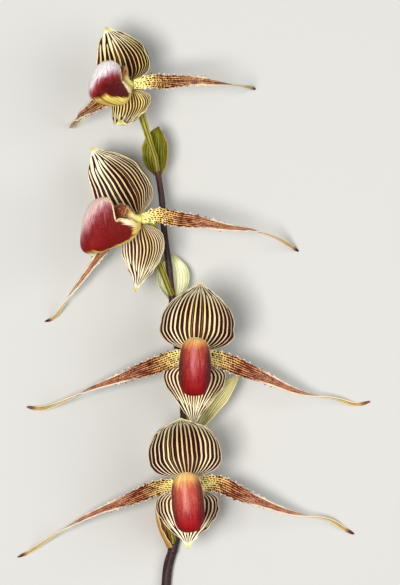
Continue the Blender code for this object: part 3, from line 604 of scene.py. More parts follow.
def spotted(name, number, seed, front):
    """A petal: dark spots in rows on yellow, which run into dark lines and redden outwards."""
    p = Pattern(name, 0.55, soft=0.06, shine=0.1)
    u, v, tints = p.u, p.v, TINTS[number]
    middle, gold = abs(u - 0.5) * 2, tints["gold"]
    ground = p.ramp(v, [
        # The base is its own cream-yellow, made paler still as painted light against the lip's shadow
        # there.
        (0, "#f6ec9c"), (0.06, "#fbe88c"), (0.13, "#ecc478"), (0.21, "#d89a5e"), (0.33, "#c4845a"),
        (0.46, "#c07c60"), (0.57, "#ca8e74"), (0.68, "#f0dcb0"), (0.8, "#ead69c"), (0.92, "#d2b46a"),
        (1, "#a07844"),
    ])
    lumps = p.noise(5, 30, seed, 3)
    blush = lumps.step(0.34, 0.62) * v.step(0.14, 0.32) * v.step(0.68, 0.56) * middle.step(0.95, 0.55)
    rows = (u + (p.noise(2, 12, seed) - 0.5) * 0.03) * tints["rows"]
    lane = p.chance(rows.floor(), seed + 1.3)
    beside = abs(rows - rows.floor() - 0.5) * -2
    place = v * tints["dashes"] + lane * 5 + (p.noise(6, 40, seed + 2, 3) - 0.5) * 2.4
    between = abs(place - place.floor() - 0.5) * -2
    ragged = (p.noise(40, 160, seed + 5, 2) - 0.5) * 0.5
    thick = p.ramp(v, [(0, 0.48), (0.08, 0.67), (0.2, 0.82), (0.4, 0.76), (0.6, 0.6)])
    thick = thick + (lumps - 0.5) * 1.2
    long = p.ramp(v, [(0, 0.54), (0.08, 0.68), (0.2, 0.9), (0.36, 1), (0.5, 1)])
    long = long - 0.3 * gold + (lumps - 0.5) * 0.9
    spot = (beside + thick + ragged).step(-0.1, 0.12) * (between + long + ragged).step(-0.12, 0.14)
    spot = spot * v.step(0.68, 0.58)
    line = (beside + thick * 0.72).step(-0.1, 0.12) * v.step(0.1, 0.24) * v.step(0.68, 0.56)
    flecks = (p.cells(u * 9, v * 110 + 5.5) * -1 + 0.28).step(-0.05, 0.05)
    edge = (middle + v.step(0.24, 0.52) * 0.18).step(0.76, 0.94) * v.step(0.26, 0.4)
    late = v.step(0.58, 0.66) * v.step(0.96, 0.9)
    brown = (abs(middle - 0.36) * -1 + 0.2 + (p.noise(3, 40, seed + 6, 3) - 0.5) * 0.2).step(0, 0.12)
    tone = p.paint(
        ground, (v.step(0.1, 0.2) * v.step(0.66, 0.5) * gold, "#f0d080"),
        (blush * (0.5 - 0.5 * gold), "#a04a2e"),
        (line * (0.9 - 0.6 * gold), p.mix(v.step(0.2, 0.5), "#5a150b", "#761e18")),
        (spot, p.mix(v.step(0.08, 0.4), "#3a0806", "#540f0c")),
        (flecks * v.step(0.24, 0.36) * v.step(0.6, 0.5) * 0.35, "#f0cfa8"),
        (edge * 0.85, "#f0dfc0"), (late * brown * 0.85, "#6a2f1c"),
        (v.step(0.935, 0.98), tints["petal_tip"]),
    )
    if not front:
        tone = p.mix(v.step(0.6, 0.4) * 0.25, tone, "#c7a25e")
    relief = spot * 0.6 + p.noise(40, 200, seed, 3) * 0.6 + p.grain(0.3)
    return p.finish(tone, relief, 0.14)


def pouch_outside(name, number):
    """The slipper's outside: deep red below, paler above, yellow along the sole and claw, with a painted
    highlight down its front and painted shade on its sides.
    """
    p = Pattern(name, 0.55, soft=0.06, shine=0.08)
    u, v, tints, seed = p.u, p.v, TINTS[number], number * 3.0
    height, across, vein = p.stored("height"), p.stored("across"), p.stored("vein")
    streak = p.lumps(vein * 9, height * 2.2, seed, 4)
    fine = p.lumps(vein * 30, height * 4, seed + 4, 3)
    patch = p.lumps(vein * 2, height * 3, seed + 6, 2)
    cloud = p.grain(3.2, 4)
    level = height + (streak - 0.5) * 0.22 + (patch - 0.5) * 0.12 + (cloud - 0.5) * 0.12
    # The pale top leans towards the lamp's side: partly the lip's own paler top, partly a painted sheen.
    level = level - across * tints["painted_sheen_lean"]
    # Painted highlight: a pale band down the lip where the lamp would shine on it.
    painted_highlight = (abs(across - tints["painted_highlight_at"]) * -1 + 0.3).step(0, 0.28)
    painted_highlight = painted_highlight * height.step(0.3, 0.66) * height.step(0.98, 0.8) * (streak * 0.6 + 0.35)
    # Painted shade: the lip darkens towards its sides, where they turn away from the light.
    sides = abs(across + 0.05).step(0.4, 1) * height.step(1, 0.8) * tints["sides"]
    deep = level.step(0.85, 0.45) * 0.38 + 0.18
    fringe = (p.noise(64, 2.6, seed + 8, 4) - 0.5) * 0.9
    wide = (v * -1 + 0.78).most(0) * 0.22 + tints["sole"]
    yellow = (wide - u + fringe * 0.14).step(-0.012, 0.02) * v.step(tints["toe"], tints["toe"] - 0.09)
    claw = (v * -1 + 0.27 + fringe * 0.4).step(-0.03, 0.04)
    lapel = (v * -1 + 0.66).most(0) * 0.26
    rimmed = (abs(u - 0.5) * -1 + lapel + fringe * 0.12).step(-0.012, 0.03) * v.step(0.66, 0.58)
    seam = (abs(u - tints["sole"] * 0.45) * -1 + 0.02).step(-0.008, 0.008) * v.step(0.2, 0.4)
    gold = p.mix(p.noise(60, 3, seed + 6, 3).step(0.4, 0.65), "#f0d976", "#c9a83c")
    tone = p.paint(
        p.ramp(level, tints["lip"]), (painted_highlight, tints["painted_highlight"]), (sides, tints["side_shade_and_vein"]),
        (fine.step(0.5, 0.66) * deep, tints["side_shade_and_vein"]),
        (fine.step(0.46, 0.32) * height.step(0.25, 0.85) * 0.2, "#efc8ba"),
        (p.grain(0.8, 3).step(0.52, 0.68) * deep * 0.8, tints["side_shade_and_vein"]),
        (p.grain(0.5, 2).step(0.6, 0.74) * height.step(0.1, 0.6) * 0.2, "#f0c8c0"),
        (yellow.most(claw), p.mix(seam * 0.8, gold, "#6e2c14")),
        (rimmed * v.step(0.12, 0.2), p.mix(v.step(0.4, 0.15), "#fbf0cc", "#f0dc90")),
    )
    return p.finish(tone, fine * 0.6 + streak * 0.5 + p.grain(0.4), 0.12)


def pouch_inside(name, seed):
    """The slipper's inside: dotted, and reddening from its claw to its toe."""
    p = Pattern(name, 0.4, soft=0.15)
    vein, under = p.stored("vein"), p.stored("under")
    dots = p.cells(vein * 8, p.v * 34)
    tone = p.paint(
        p.mix(p.v.step(0.25, 0.8), "#d9bd6a", "#7c2b20"),
        ((dots * -1 + 0.3).step(-0.05, 0.06) * 0.8, "#5a160e"),
        (p.lumps(vein * 9, under * 3, seed, 3).step(0.5, 0.7) * 0.4, "#4f120f"),
    )
    return p.finish(tone, p.grain(0.4))


def pouch_rim(name):
    """The rolled rim of the slipper's mouth: cream with tan patches."""
    p = Pattern(name, 0.35, soft=0.15)
    tone = p.mix(p.grain(1.6, 3).step(0.42, 0.62), "#efd9a2", "#d89a5c")
    return p.finish(tone, p.grain(0.3), 0.08)


def tongue(name):
    """The column and its staminode: green-yellow at the base, a red-brown shield with a gold edge."""
    p = Pattern(name, 0.5, soft=0.1, shine=0.3)
    u, v = p.u, p.v
    edge = abs(u - 0.5) * 2
    dots = p.cells(u * 30, v * 34)
    tone = p.paint(
        p.ramp(v, [(0, "#cfd268"), (0.2, "#e8e48a"), (0.36, "#f0e6a0"), (0.46, "#dda255"),
                   (0.56, "#8e3020"), (0.9, "#7a2018"), (1, "#b8642e")]),
        (p.noise(26, 12, 1, 3).step(0.48, 0.66) * 0.35, "#d99a54"),
        ((dots * -1 + 0.3).step(-0.05, 0.06) * v.step(0.4, 0.52) * 0.85, "#3c0c0a"),
        (abs(edge - 0.5).step(0.12, 0.03) * v.step(0.42, 0.52) * 0.9, "#eeb46a"),
    )
    return p.finish(tone, dots + p.grain(0.25), 0.15)


def stalked(name, seed):
    """An ovary and its stalk: yellow-green, with dark lines along its ribs."""
    p = Pattern(name, 0.5, soft=0.1, shine=0.15)
    along = abs((p.u * 6).math("FRACT") - 0.5) * 2
    streak = (p.noise(24, 5, seed, 3) - 0.5) * 0.5
    dark = (along * -1 + 0.34 + streak).step(-0.06, 0.1)
    tone = p.paint(
        p.ramp(p.v, [(0, "#7a6f1e"), (0.2, "#827d1a"), (0.6, "#8a8820"), (1, "#aaa73e")]),
        (p.noise(18, 9, seed + 3, 3).step(0.4, 0.7) * 0.4, "#cfc66c"),
        (dark * p.ramp(p.v, [(0, 0.95), (0.5, 0.9), (1, 0.35)]), "#35170f"),
    )
    return p.finish(tone, p.noise(60, 90, seed, 3) + p.grain(0.3) * 0.6, 0.12)


def papery(name, number, inside):
    """A bract: parallel veins on pale tissue, darker towards its tip and base."""
    p = Pattern(name, 0.55, soft=0.15, shine=0.12)
    u, v, seed = p.u, p.v, number * 1.9
    ground, pale, deep = TINTS[number]["bract"]
    place = (u + (p.noise(4, 2, seed) - 0.5) * 0.04) * 11
    vein = abs((place - place.floor()) - 0.5) * 2
    strong = p.chance(place.floor(), seed) * 0.6 + 0.4
    thin = (vein * -1 + 0.34 + (p.noise(60, 12, seed, 3) - 0.5) * 0.6).step(-0.08, 0.12)
    tone = p.mix(p.noise(7, 3, seed + 1, 3).step(0.3, 0.7), ground, pale)
    if inside:
        # The inner face is paler: painted light lifting the shade in the bract's hollow.
        tone = p.mix(0.4, tone, pale)
    tone = p.paint(
        tone, (thin * strong, deep), (v.step(0.8, 1) * 0.4, deep),
        ((abs(u - 0.5) * 2).step(0.86, 0.99) * 0.75, TINTS[number]["rim"]),
        (v.step(0.2, 0) * 0.5, "#96704a"),
    )
    return p.finish(tone, thin * 0.8 + p.grain(0.5) * 0.5, 0.12)


def stem_skin():
    """The stem: nearly black brown, streaked and mottled."""
    p = Pattern("stem_skin", 0.5, shine=0.3)
    streak = p.noise(30, 26, 2, 4)
    tone = p.paint(
        p.mix(streak.step(0.35, 0.7), "#190a0b", "#351413"),
        (p.grain(0.9, 3).step(0.55, 0.75) * 0.3, "#5a3430"), (p.v.step(0.94, 1) * 0.5, "#6a3a22"),
        (p.noise(9, 60, 5, 3).step(0.6, 0.8) * 0.35, "#120607"),
    )
    return p.finish(tone, streak + p.grain(0.3) * 0.6, 0.14)


def stem_cut():
    """The stem's cut end: darker bundles of fibres in pale pith, within a brown rind."""
    p = Pattern("stem_cut", 0.5, soft=0.2)
    bundles = (p.cells(p.u * 9, p.v * 9) * -1 + 0.26).step(-0.05, 0.06)
    pith = p.mix(bundles, "#cfd0a0", "#8c8a52")
    tone = p.mix(p.stored("rind").step(0.86, 0.94), pith, "#4a2a2c")
    return p.finish(tone, bundles + p.grain(0.3))


def hair_look(name, root, tip):
    """Hairs of one colour at the root and another at the tip."""
    p = Pattern(name, 0.5, sheen=0.2)
    return p.finish(p.mix(p.v, root, tip))


def bead_look(name, low, high):
    """Glossy beads, mottled between two colours."""
    p = Pattern(name, 0.3, soft=0.2, coat=0.5)
    return p.finish(p.mix(p.grain(0.5, 3), low, high), p.grain(0.2), 0.05)


# Meshes

def linked(name, data):
    """A new object of a mesh, lamp or camera, in the scene."""
    obj = bpy.data.objects.new(name, data)
    bpy.context.scene.collection.objects.link(obj)
    return obj


def piece(name, points, faces, uv, looks, which=None, stored=None, node=None):
    """A smooth piece that lies still on the frame. which is each face's place in looks."""
    mesh = bpy.data.meshes.new(name)
    metres = (np.asarray(points) - MIDDLE) * MM
    corners = [tuple(dict.fromkeys(int(c) for c in face)) for face in faces]
    mesh.from_pydata(metres.tolist(), [], corners)
    mesh.shade_smooth()
    mesh.uv_layers.new(name="UVMap").uv.foreach_set("vector", unwrapped(mesh, uv).ravel())
    for label, numbers in (stored or {}).items():
        kept = mesh.attributes.new(label, "FLOAT", "POINT")
        kept.data.foreach_set("value", np.asarray(numbers, np.float32))
    for look in looks:
        mesh.materials.append(look)
    if which is not None:
        mesh.polygons.foreach_set("material_index", np.asarray(which, np.int32))
    obj = linked(name, mesh)
    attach(obj, "root")
    if node:
        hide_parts(node)


def unwrapped(mesh, uv):
    """Each face corner's (u, v). A face that spans the seam of u has all its corners past it."""
    corners = np.empty(len(mesh.loops), np.int32)
    mesh.loops.foreach_get("vertex_index", corners)
    starts = np.empty(len(mesh.polygons), np.int32)
    mesh.polygons.foreach_get("loop_start", starts)
    place = np.asarray(uv, np.float32)[corners]
    u = place[:, 0]
    spans = np.maximum.reduceat(u, starts) - np.minimum.reduceat(u, starts)
    sizes = np.diff(np.append(starts, len(corners)))
    place[np.repeat(spans > 0.5, sizes) & (u < 0.5), 0] += 1
    return place


def sheet_faces(rows, columns):
    """The squares of a grid of points, as corners."""
    i, j = np.meshgrid(np.arange(rows - 1), np.arange(columns - 1), indexing="ij")
    a = (i * columns + j).ravel()
    return np.stack([a, a + 1, a + 1 + columns, a + columns], axis=1)


def sheet_normals(points, faces):
    """Each point's normal, as the mean of the squares that meet there."""
    p = points[faces]
    flat = np.cross(p[:, 2] - p[:, 0], p[:, 3] - p[:, 1])
    normals = np.zeros_like(points)
    for corner in range(4):
        np.add.at(normals, faces[:, corner], flat)
    return unit(normals)


def open_edges(faces):
    """The edges that only one square has, each as it runs there."""
    edges = np.concatenate([faces[:, [k, (k + 1) % 4]] for k in range(4)])
    edges = edges[edges[:, 0] != edges[:, 1]]
    known = {tuple(edge) for edge in edges.tolist()}
    return np.array([edge for edge in edges.tolist() if (edge[1], edge[0]) not in known])


def leaf(node, points, faces, front, back, u, v, looks, stored):
    """A closed thin piece in a node's place: a sheet moved out by front and back, and its rim."""
    n = len(points)
    normals = sheet_normals(points, faces)
    both = np.concatenate([points + normals * np.reshape(front, (-1, 1)),
                           points - normals * np.reshape(back, (-1, 1))])
    rim = [(b, a, a + n, b + n) for a, b in open_edges(faces)]
    closed = np.concatenate([faces, faces[:, ::-1] + n, rim])
    side = np.repeat([0, 1], [len(faces), len(faces) + len(rim)])
    uv = np.tile(np.stack([u.ravel(), v.ravel()], axis=1), (2, 1))
    twice = {name: np.tile(values.ravel(), 2) for name, values in stored.items()}
    piece(f"fine_{node}", kept_above(both, LOWEST), closed, uv, looks, side, twice, node)


def hairs(name, roots, ways, lengths, radius, look):
    """Fine tapered hairs, each bent a little downwards."""
    ways = unit(ways)
    across = unit(np.cross(ways, [0.31, 0.52, 0.79]))
    other = np.cross(ways, across)
    length = np.reshape(lengths, (-1, 1))
    tips = roots + ways * length - np.array([0, 0, 1]) * length * HAIR_DROOP
    rings = []
    for middle, wide in ((roots - ways * 0.1, radius), (roots + ways * length * 0.55, radius * 0.7)):
        for turn in (2 * math.pi * k / 3 for k in range(3)):
            rings.append(middle + wide * (across * math.cos(turn) + other * math.sin(turn)))
    points = np.stack([*rings, tips], axis=1).reshape(-1, 3)
    first = np.arange(len(roots))[:, None] * 7
    faces = []
    for k, m in ((0, 1), (1, 2), (2, 0)):
        faces += (first + [k, m, m + 3, k + 3]).tolist()
        faces += (first + [k + 3, m + 3, 6]).tolist()
    uv = np.tile([[0.5, 0.0]] * 3 + [[0.5, 0.55]] * 3 + [[0.5, 1.0]], (len(roots), 1))
    piece(name, kept_above(points, LOWEST), faces, uv, [look])


def beads(name, middles, sizes, looks, which):
    """Small round beads. which says which of the looks each one has."""
    sides, rings = 8, 5
    turn = np.linspace(0, 2 * math.pi, sides, endpoint=False)
    ball = [(0, 0, 1)]
    for a in np.linspace(0, math.pi, rings + 2)[1:-1]:
        ball += [(math.sin(a) * math.cos(b), math.sin(a) * math.sin(b), math.cos(a)) for b in turn]
    ball = np.array([*ball, (0, 0, -1)])
    last = 1 + rings * sides
    faces = [(0, 1 + k, 1 + (k + 1) % sides) for k in range(sides)]
    for a in range(1, last - sides, sides):
        faces += [(a + k, a + sides + k, a + sides + (k + 1) % sides, a + (k + 1) % sides)
                  for k in range(sides)]
    faces += [(last, last - sides + (k + 1) % sides, last - sides + k) for k in range(sides)]
    points = middles[:, None] + ball[None] * np.reshape(sizes, (-1, 1, 1))
    every = [tuple(c + i * len(ball) for c in face) for i in range(len(middles)) for face in faces]
    uv = np.tile(ball[:, :2] * 0.5 + 0.5, (len(middles), 1))
    points = kept_above(points, LOWEST).reshape(-1, 3)
    piece(name, points, every, uv, looks, np.repeat(which, len(faces)))


# Sepals

def sepal_grid(bloom, shape, up, tip, size, edge, tilt):
    """A cupped sepal. tip is how far its point stands out and forward; up is 1 or -1."""
    t = np.linspace(0, 1, SEPAL_ROWS + 1)
    u = np.linspace(-1, 1, SEPAL_COLUMNS + 1)
    height, reach, behind, wide, rise = (
        profile(shape[key], t)[:, None] for key in ("height", "reach", "behind", "wide", "rise"))
    height = SEAT + (tip[0] - SEAT) * height
    back = (tip[1] + 1.4) * reach - 1.4 - SEPAL_DEPTH * behind
    half = np.radians(profile([(0, 30), (0.15, 70), (0.3, 88), (0.6, 88), (1, 40)], t))[:, None]
    out = wide * size * np.sin(u * half) / np.sin(half)
    rise = rise * edge * (1 - np.cos(u * half)) / (1 - np.cos(half))
    turn = math.radians(tilt)
    x = out * math.cos(turn) - height * math.sin(turn)
    y = out * math.sin(turn) + height * math.cos(turn)
    return placed(bloom, np.stack([x * up, y * up, back + rise], axis=2))


def sepal(name, number, up):
    """A sepal with raised stripes, a keel behind, a slightly waved thin edge and edge hairs."""
    bloom = BLOOMS[number]
    kind, usual = ("dorsal", DORSAL_SHAPE) if up > 0 else ("synsepal", SYNSEPAL_SHAPE)
    grid = sepal_grid(bloom, bloom.get(f"{kind}_shape", usual), up, *bloom[kind])
    rows, columns = grid.shape[:2]
    points, faces = grid.reshape(-1, 3), sheet_faces(rows, columns)
    t, u = np.meshgrid(np.linspace(0, 1, rows), np.linspace(-1, 1, columns), indexing="ij")
    seed = number * 10 + (up > 0)
    stripes = DORSAL_STRIPES[number] if up > 0 else SYNSEPAL_STRIPES
    open_part = within((t - 0.14) / 0.12) * within((1 - t) / 0.12)
    shift = 0.4 * np.abs(u) ** 7 * edge_waves(t, u, seed, seed + 100, 3, 8) * open_part
    shift += 0.12 * waves(t + 0.3 * u, seed + 200, 1, 3) * open_part
    points = points + sheet_normals(points, faces) * (shift * bloom["size"]).reshape(-1, 1)
    bowed = 0.65 if bloom["yaw"] == 0 else np.where(u * up > 0, 0.6, 0.25)
    spread = ((1 - bowed) * u + bowed * np.sin(u * 1.5) / math.sin(1.5)) * profile(STRIPES_LEFT, t)
    ribs = -0.07 * np.cos(math.pi * stripes * (spread + 1)) * open_part
    half = HALF_SEPAL - 0.24 * within((np.abs(u) - 0.82) / 0.18)
    keel = 0.3 * hump(u, 0.05) * within(1.05 - t)
    looks = [striped(f"{name}_{side}", number, up, seed * 1.7, side == "front")
             for side in ("front", "back")]
    leaf(name, points, faces, half + ribs, half + keel + ribs, (spread + 1) / 2, t, looks,
         {"side": np.abs(u)})
    count, (short, long) = SEPAL_HAIRS
    draw = np.random.default_rng(seed)
    grid = points.reshape(rows, columns, 3)
    row = draw.integers(int(rows * 0.12), rows - 2, count)
    end = draw.integers(0, 2, count)
    roots = grid[row, np.where(end == 1, columns - 1, 0)]
    out = unit(roots - grid[row, np.where(end == 1, columns - 4, 3)])
    return roots, out + draw.normal(0, 0.35, (count, 3)), draw.uniform(short, long, count)


# Petals

def blade_grid(spine, normal, half_width, cup, across):
    """Rows across a spine: a strip bent towards its normal, to half-angle cup at its edges."""
    side = np.cross(directions(spine), normal)
    angle = cup[:, None] * across[None, :]
    safe = np.maximum(cup, 1e-6)[:, None]
    out = half_width[:, None] * np.sin(angle) / safe
    up = half_width[:, None] * (1 - np.cos(angle)) / safe
    return spine[:, None] + side[:, None] * out[..., None] + normal[:, None] * up[..., None]


def petal(number, hand, looks):
    """A long ribbon with warts and beads along its edges near the base, twisted further out."""
    bloom = BLOOMS[number]
    size = bloom["size"]
    label = "left" if hand < 0 else "right"
    seed = 40 + number * 2 + (hand > 0)
    x, _, z = bloom_axes(bloom).T
    seat = placed(bloom, (hand * SEAT, 0.0, 1.6))
    hung = np.array(bloom["centre"]) + np.array(bloom[label])
    t = np.linspace(0, 1, PETAL_ROWS + 1)
    u = np.linspace(-1, 1, PETAL_COLUMNS + 1)
    spine = kept_above(smooth_route([seat, seat + hand * 3.0 * x, *hung], t), BLADE / 2)
    late = bloom["twist"][hand > 0]
    turns = [(min(k + late, 1.0), way) for k, way in PETAL_TURNS]
    normal = facing([(0.0, z), *turns], t, directions(spine))
    places = WART_REACH * np.arange(2, WARTS + 1) / WARTS
    width = profile(PETAL_WIDTH, t) * bloom["petals"][hand > 0] * size
    grid = blade_grid(spine, normal, width, np.full(len(t), math.radians(14)), u)
    side = np.cross(directions(spine), normal)
    tall = WART_HEIGHT * hump(t[:, None] - places[1::2], 0.0075).sum(axis=1)[:, None]
    grid += side[:, None] * (tall * np.sign(u) * np.abs(u) ** 8 * size)[..., None]
    swing = np.interp(t, [0.08, 0.16, 0.4, 0.62, 0.8], [0, 0.45, 0.55, 0.35, 0])[:, None]
    ruffle = edge_waves(t[:, None], u, seed, seed + 50, 9, 17)
    veins = 0.05 * np.cos(math.pi * PETAL_VEINS * (u + 1)) - 0.16 * hump(u, 0.14)
    grid += normal[:, None] * (swing * ruffle * np.abs(u) ** 3 + veins)[..., None]
    kept_above(grid, BLADE / 2)
    rows, columns = grid.shape[:2]
    half = np.tile(HALF_PETAL - 0.2 * np.abs(u) ** 4, (rows, 1))
    v, across = np.meshgrid(t, (u + 1) / 2, indexing="ij")
    leaf(f"petal_{label}_{number}", grid.reshape(-1, 3), sheet_faces(rows, columns), half, half,
         across, v, looks, {})
    return petal_trim(grid, side, normal, places, seed, size)


def petal_trim(grid, side, normal, places, seed, size):
    """Where a petal's beads and edge hairs are: middles, sizes, kinds, roots, ways, lengths."""
    draw = np.random.default_rng(seed)
    middles, sizes, kinds, roots, ways, lengths = [], [], [], [], [], []
    for end, sign in ((0, -1), (-1, 1)):
        for k, place in enumerate(places):
            row = round((place + draw.normal(0, 0.002)) * PETAL_ROWS)
            row = int(np.clip(row, 2, PETAL_ROWS - 2))
            out = sign * side[row]
            middle = grid[row, end] + out * 0.05 + normal[row] * draw.uniform(0.0, 0.25)
            middles.append(middle)
            sizes.append(draw.uniform(0.4, 0.62) * size * (1.0 if k % 2 else 0.75) * (1.15 - place))
            kinds.append(int(draw.random() < 0.72))
            for _ in range(BEAD_HAIRS[0]):
                roots.append(middle)
                ways.append(out + normal[row] * draw.uniform(-0.3, 0.9) + draw.normal(0, 0.4, 3))
                lengths.append(draw.uniform(*BEAD_HAIRS[1]) * size)
        for _ in range(PETAL_HAIRS[0]):
            row = int(draw.uniform(0.03, 0.6) * PETAL_ROWS)
            roots.append(grid[row, end])
            ways.append(sign * side[row] + draw.normal(0, 0.35, 3))
            lengths.append(draw.uniform(*PETAL_HAIRS[1]) * size)
    return middles, sizes, kinds, roots, ways, lengths


# Lips

def lip_sheet(bloom):
    """The pouch's inner sheet in its bloom's frame, its mouth's edge, and what its colours follow."""
    toe, throat, claw, back_depth = 46.0, 33.5, 3.4, 26.0
    half_width, low, tall = 8.35, 17, 31.4
    share = 1 - np.cos(np.linspace(0, math.pi / 2, TOE_ROWS + 1)[1:])
    back = np.linspace(0, 1, SOLE_ROWS + 1)[1:] ** 1.5
    depth = np.concatenate([toe - (toe - throat) * share, throat - (throat - claw) * back])
    along = (depth - claw) / (toe - claw)
    middle = profile([(0, -2.35), (0.2, -2.8), (0.5, -1.4), (0.7, -1), (1, -1)], along)
    bulge = within((along - 0.72) / 0.28)
    swell = np.sqrt(within(1 - bulge ** 2.4))
    wide = swell * profile([(0, 1.6), (0.14, 4.6), (0.4, 7.3), (0.7, half_width), (1, half_width)], along)
    full = within(1 - bulge ** 3.4) ** 0.45
    below = full * profile([(0, 3.2), (0.14, 6.6), (0.4, 11), (0.7, 14.2), (1, 14.8)], along)
    mouth = within((throat - depth) / 3.5)
    reach = math.pi * (1 - 0.5 * np.sqrt(1 - (1 - mouth) ** 2))
    around = reach[:, None] * np.linspace(-1, 1, LIP_SIDES + 1)[None, :]
    s, c = np.sin(around), -np.cos(around)
    blunt = np.where(c < 0, 3.2, 2.6)
    square = (np.abs(s) ** blunt + np.abs(c) ** blunt) ** (-1 / blunt)
    y = middle[:, None] + square * c * np.where(c < 0, below[:, None], (swell * 15.4)[:, None])
    lobes = profile([(0, 0), (0.12, 0), (0.3, 2.4), (0.55, 2.4), (0.7, 0), (1, 0)], along)
    y += lobes[:, None] * within(1 + c) ** 3
    lean = profile([(0, 0), (0.5, 0.12), (0.8, 0.38), (1, 0.46)], along)[:, None]
    grid = np.stack([square * s * wide[:, None], y, depth[:, None] - lean * (y + 1.0)], axis=2)
    rows, columns = grid.shape[:2]
    points = np.concatenate([[(0.0, -1.0, toe)], grid.reshape(-1, 3)])
    alongs = np.concatenate([[1.0], np.repeat(along, columns)])
    follows = {
        "height": (points[:, 1] + low) / tall, "across": points[:, 0] / half_width,
        "under": np.concatenate([[1.0], (np.abs(around) / math.pi).ravel()]),
        "vein": np.arctan2(points[:, 0], points[:, 2] - back_depth), "along": alongs,
    }
    size, drop, sag, broad = bloom["lip"]
    points[:, 0] *= 1 + (broad - 1) * within(alongs / 0.2)
    points = (points - (0, 0, claw)) * size + (0, 0, claw)
    points[:, 1] += drop * profile([(0, 0.1), (0.35, 1), (1, 1)], alongs)
    points[:, 1] -= sag * profile([(0, 0), (0.15, 0.5), (0.35, 1), (0.6, 0.8), (1, 0)], alongs)
    number = np.arange(rows * columns).reshape(rows, columns) + 1
    number[mouth == 0, -1] = number[mouth == 0, 0]
    squares = [number[:-1, :-1], number[:-1, 1:], number[1:, 1:], number[1:, :-1]]
    zero = np.zeros(columns - 1, int)
    fan = np.stack([zero, number[0, 1:], number[0, :-1], zero], axis=1)
    opened = np.flatnonzero(mouth > 0)
    edge = np.concatenate([number[opened[::-1], 0], [number[opened[0] - 1, 0]], number[opened, -1]])
    faces = np.concatenate([fan, np.stack([corner.ravel() for corner in squares], axis=1)])
    used, faces = np.unique(faces, return_inverse=True)
    follows = {name: values[used] for name, values in follows.items()}
    return points[used], faces.reshape(-1, 4), np.searchsorted(used, edge), follows


def lip(number, looks):
    """The slipper with fine raised veins, its mouth's rolled rim, and the fuzz above its toe."""
    size = BLOOMS[number]["size"]
    local, faces, edge, follows = lip_sheet(BLOOMS[number])
    points = placed(BLOOMS[number], local)
    vein, height, under, along = (follows[key] for key in ("vein", "height", "under", "along"))
    relief = 0.05 * np.cos(22 * vein + 2 * np.sin(5 * height))
    relief += 0.1 * np.sin(3 * vein + 7 * height + number)
    outside = POUCH_WALL + relief * within((1 - along) * 12)
    skins = [pouch_inside(f"lip_{number}_inside", number), pouch_outside(f"lip_{number}_outside", number)]
    leaf(f"lip_{number}", points, faces, -0.35, outside, under, along, skins, follows)
    normals = sheet_normals(points, faces)
    route = smooth_route(points[edge] - normals[edge] * 0.6, RIM_RINGS)
    swell = 0.62 + 0.1 * waves(np.linspace(0, 1, RIM_RINGS), number, 4, 12)
    tube(f"lip_rim_{number}", route, swell * size, RIM_SIDES, looks["rim"])
    count, (short, long) = LIP_HAIRS
    draw = np.random.default_rng(700 + number)
    fuzzy = np.flatnonzero(((height > 0.86) | (along < 0.34)) & (under > 0.1))
    spots = draw.choice(fuzzy, count)
    roots = points[spots] - normals[spots] * 0.98
    ways = draw.normal(0, 0.35, (count, 3)) - normals[spots]
    lengths = draw.uniform(short, long, count)
    hairs(f"lip_fuzz_{number}", roots, ways, lengths, COARSE, looks["gold_hair"])


# Stalks, stem and column

def tube_sheet(route, wide, thin, sides, relief=0.0):
    """A round or oval tube with closed ends, as points, outward squares and (u, v).

    relief is what is added to the radii at each ring and side. u is 0.5 on the tube's top.
    """
    along = directions(route)
    normal = np.empty_like(route)
    normal[0] = unit(np.cross(along[0], (1.0, 0.0, 0.0)))
    for i in range(1, len(route)):
        normal[i] = unit(normal[i - 1] - along[i] * np.dot(normal[i - 1], along[i]))
    side = np.cross(normal, along)
    n = len(route)
    turn = np.linspace(0, 2 * math.pi, sides, endpoint=False) - math.pi / 2
    relief = np.broadcast_to(relief, (n, sides))
    wide = np.reshape(np.broadcast_to(wide, n), (-1, 1)) + relief
    thin = np.reshape(np.broadcast_to(thin, n), (-1, 1)) + relief
    rings = (
        route[:, None] + side[:, None] * (wide * np.cos(turn))[..., None]
        + normal[:, None] * (thin * np.sin(turn))[..., None]
    )
    i, j = (k.ravel() for k in np.meshgrid(np.arange(n - 1), np.arange(sides), indexing="ij"))
    a, b = i * sides + j, i * sides + (j + 1) % sides
    squares = np.stack([a, b, b + sides, a + sides], axis=1)
    k = np.arange(sides)
    first, last = np.full(sides, n * sides), np.full(sides, n * sides + 1)
    end = (n - 1) * sides
    caps = [np.stack([first, (k + 1) % sides, k, first], axis=1),
            np.stack([last, end + k, end + (k + 1) % sides, last], axis=1)]
    points = np.concatenate([rings.reshape(-1, 3), route[:1], route[-1:]])
    u = np.concatenate([np.tile(k / sides, n), [0.5, 0.5]])
    v = np.concatenate([np.repeat(np.linspace(0, 1, n), sides), [0.0, 1.0]])
    return points, np.concatenate([squares, *caps]), np.stack([u, v], axis=1)


def tube(name, route, radii, sides, look, node=None, thin=None, relief=0.0):
    """Makes a tube's piece, and gives its points, normals and (u, v)."""
    points, faces, uv = tube_sheet(route, radii, radii if thin is None else thin, sides, relief)
    piece(name, points, faces, uv, [look], node=node)
    return points, sheet_normals(points, faces), uv


def down(name, skin, first, last, figures, radius, seed, look):
    """Hairs at chance places of a skin (points, normals, uv), where v is from first to last."""
    points, normals, uv = skin
    count, (short, long) = figures
    draw = np.random.default_rng(seed)
    spots = draw.choice(np.flatnonzero((uv[:, 1] > first) & (uv[:, 1] < last)), count)
    roots = points[spots] + draw.normal(0, 0.12, (count, 3))
    roots -= normals[spots] * 0.05
    ways = normals[spots] + draw.normal(0, 0.3, (count, 3))
    hairs(name, roots, ways, draw.uniform(short, long, count), radius, look)


def grid_of(rings, sides):
    """Each ring's share of the length, and each side's turn, as two grids."""
    turn = np.linspace(0, 2 * math.pi, sides, endpoint=False)
    return np.meshgrid(np.linspace(0, 1, rings), turn, indexing="ij")


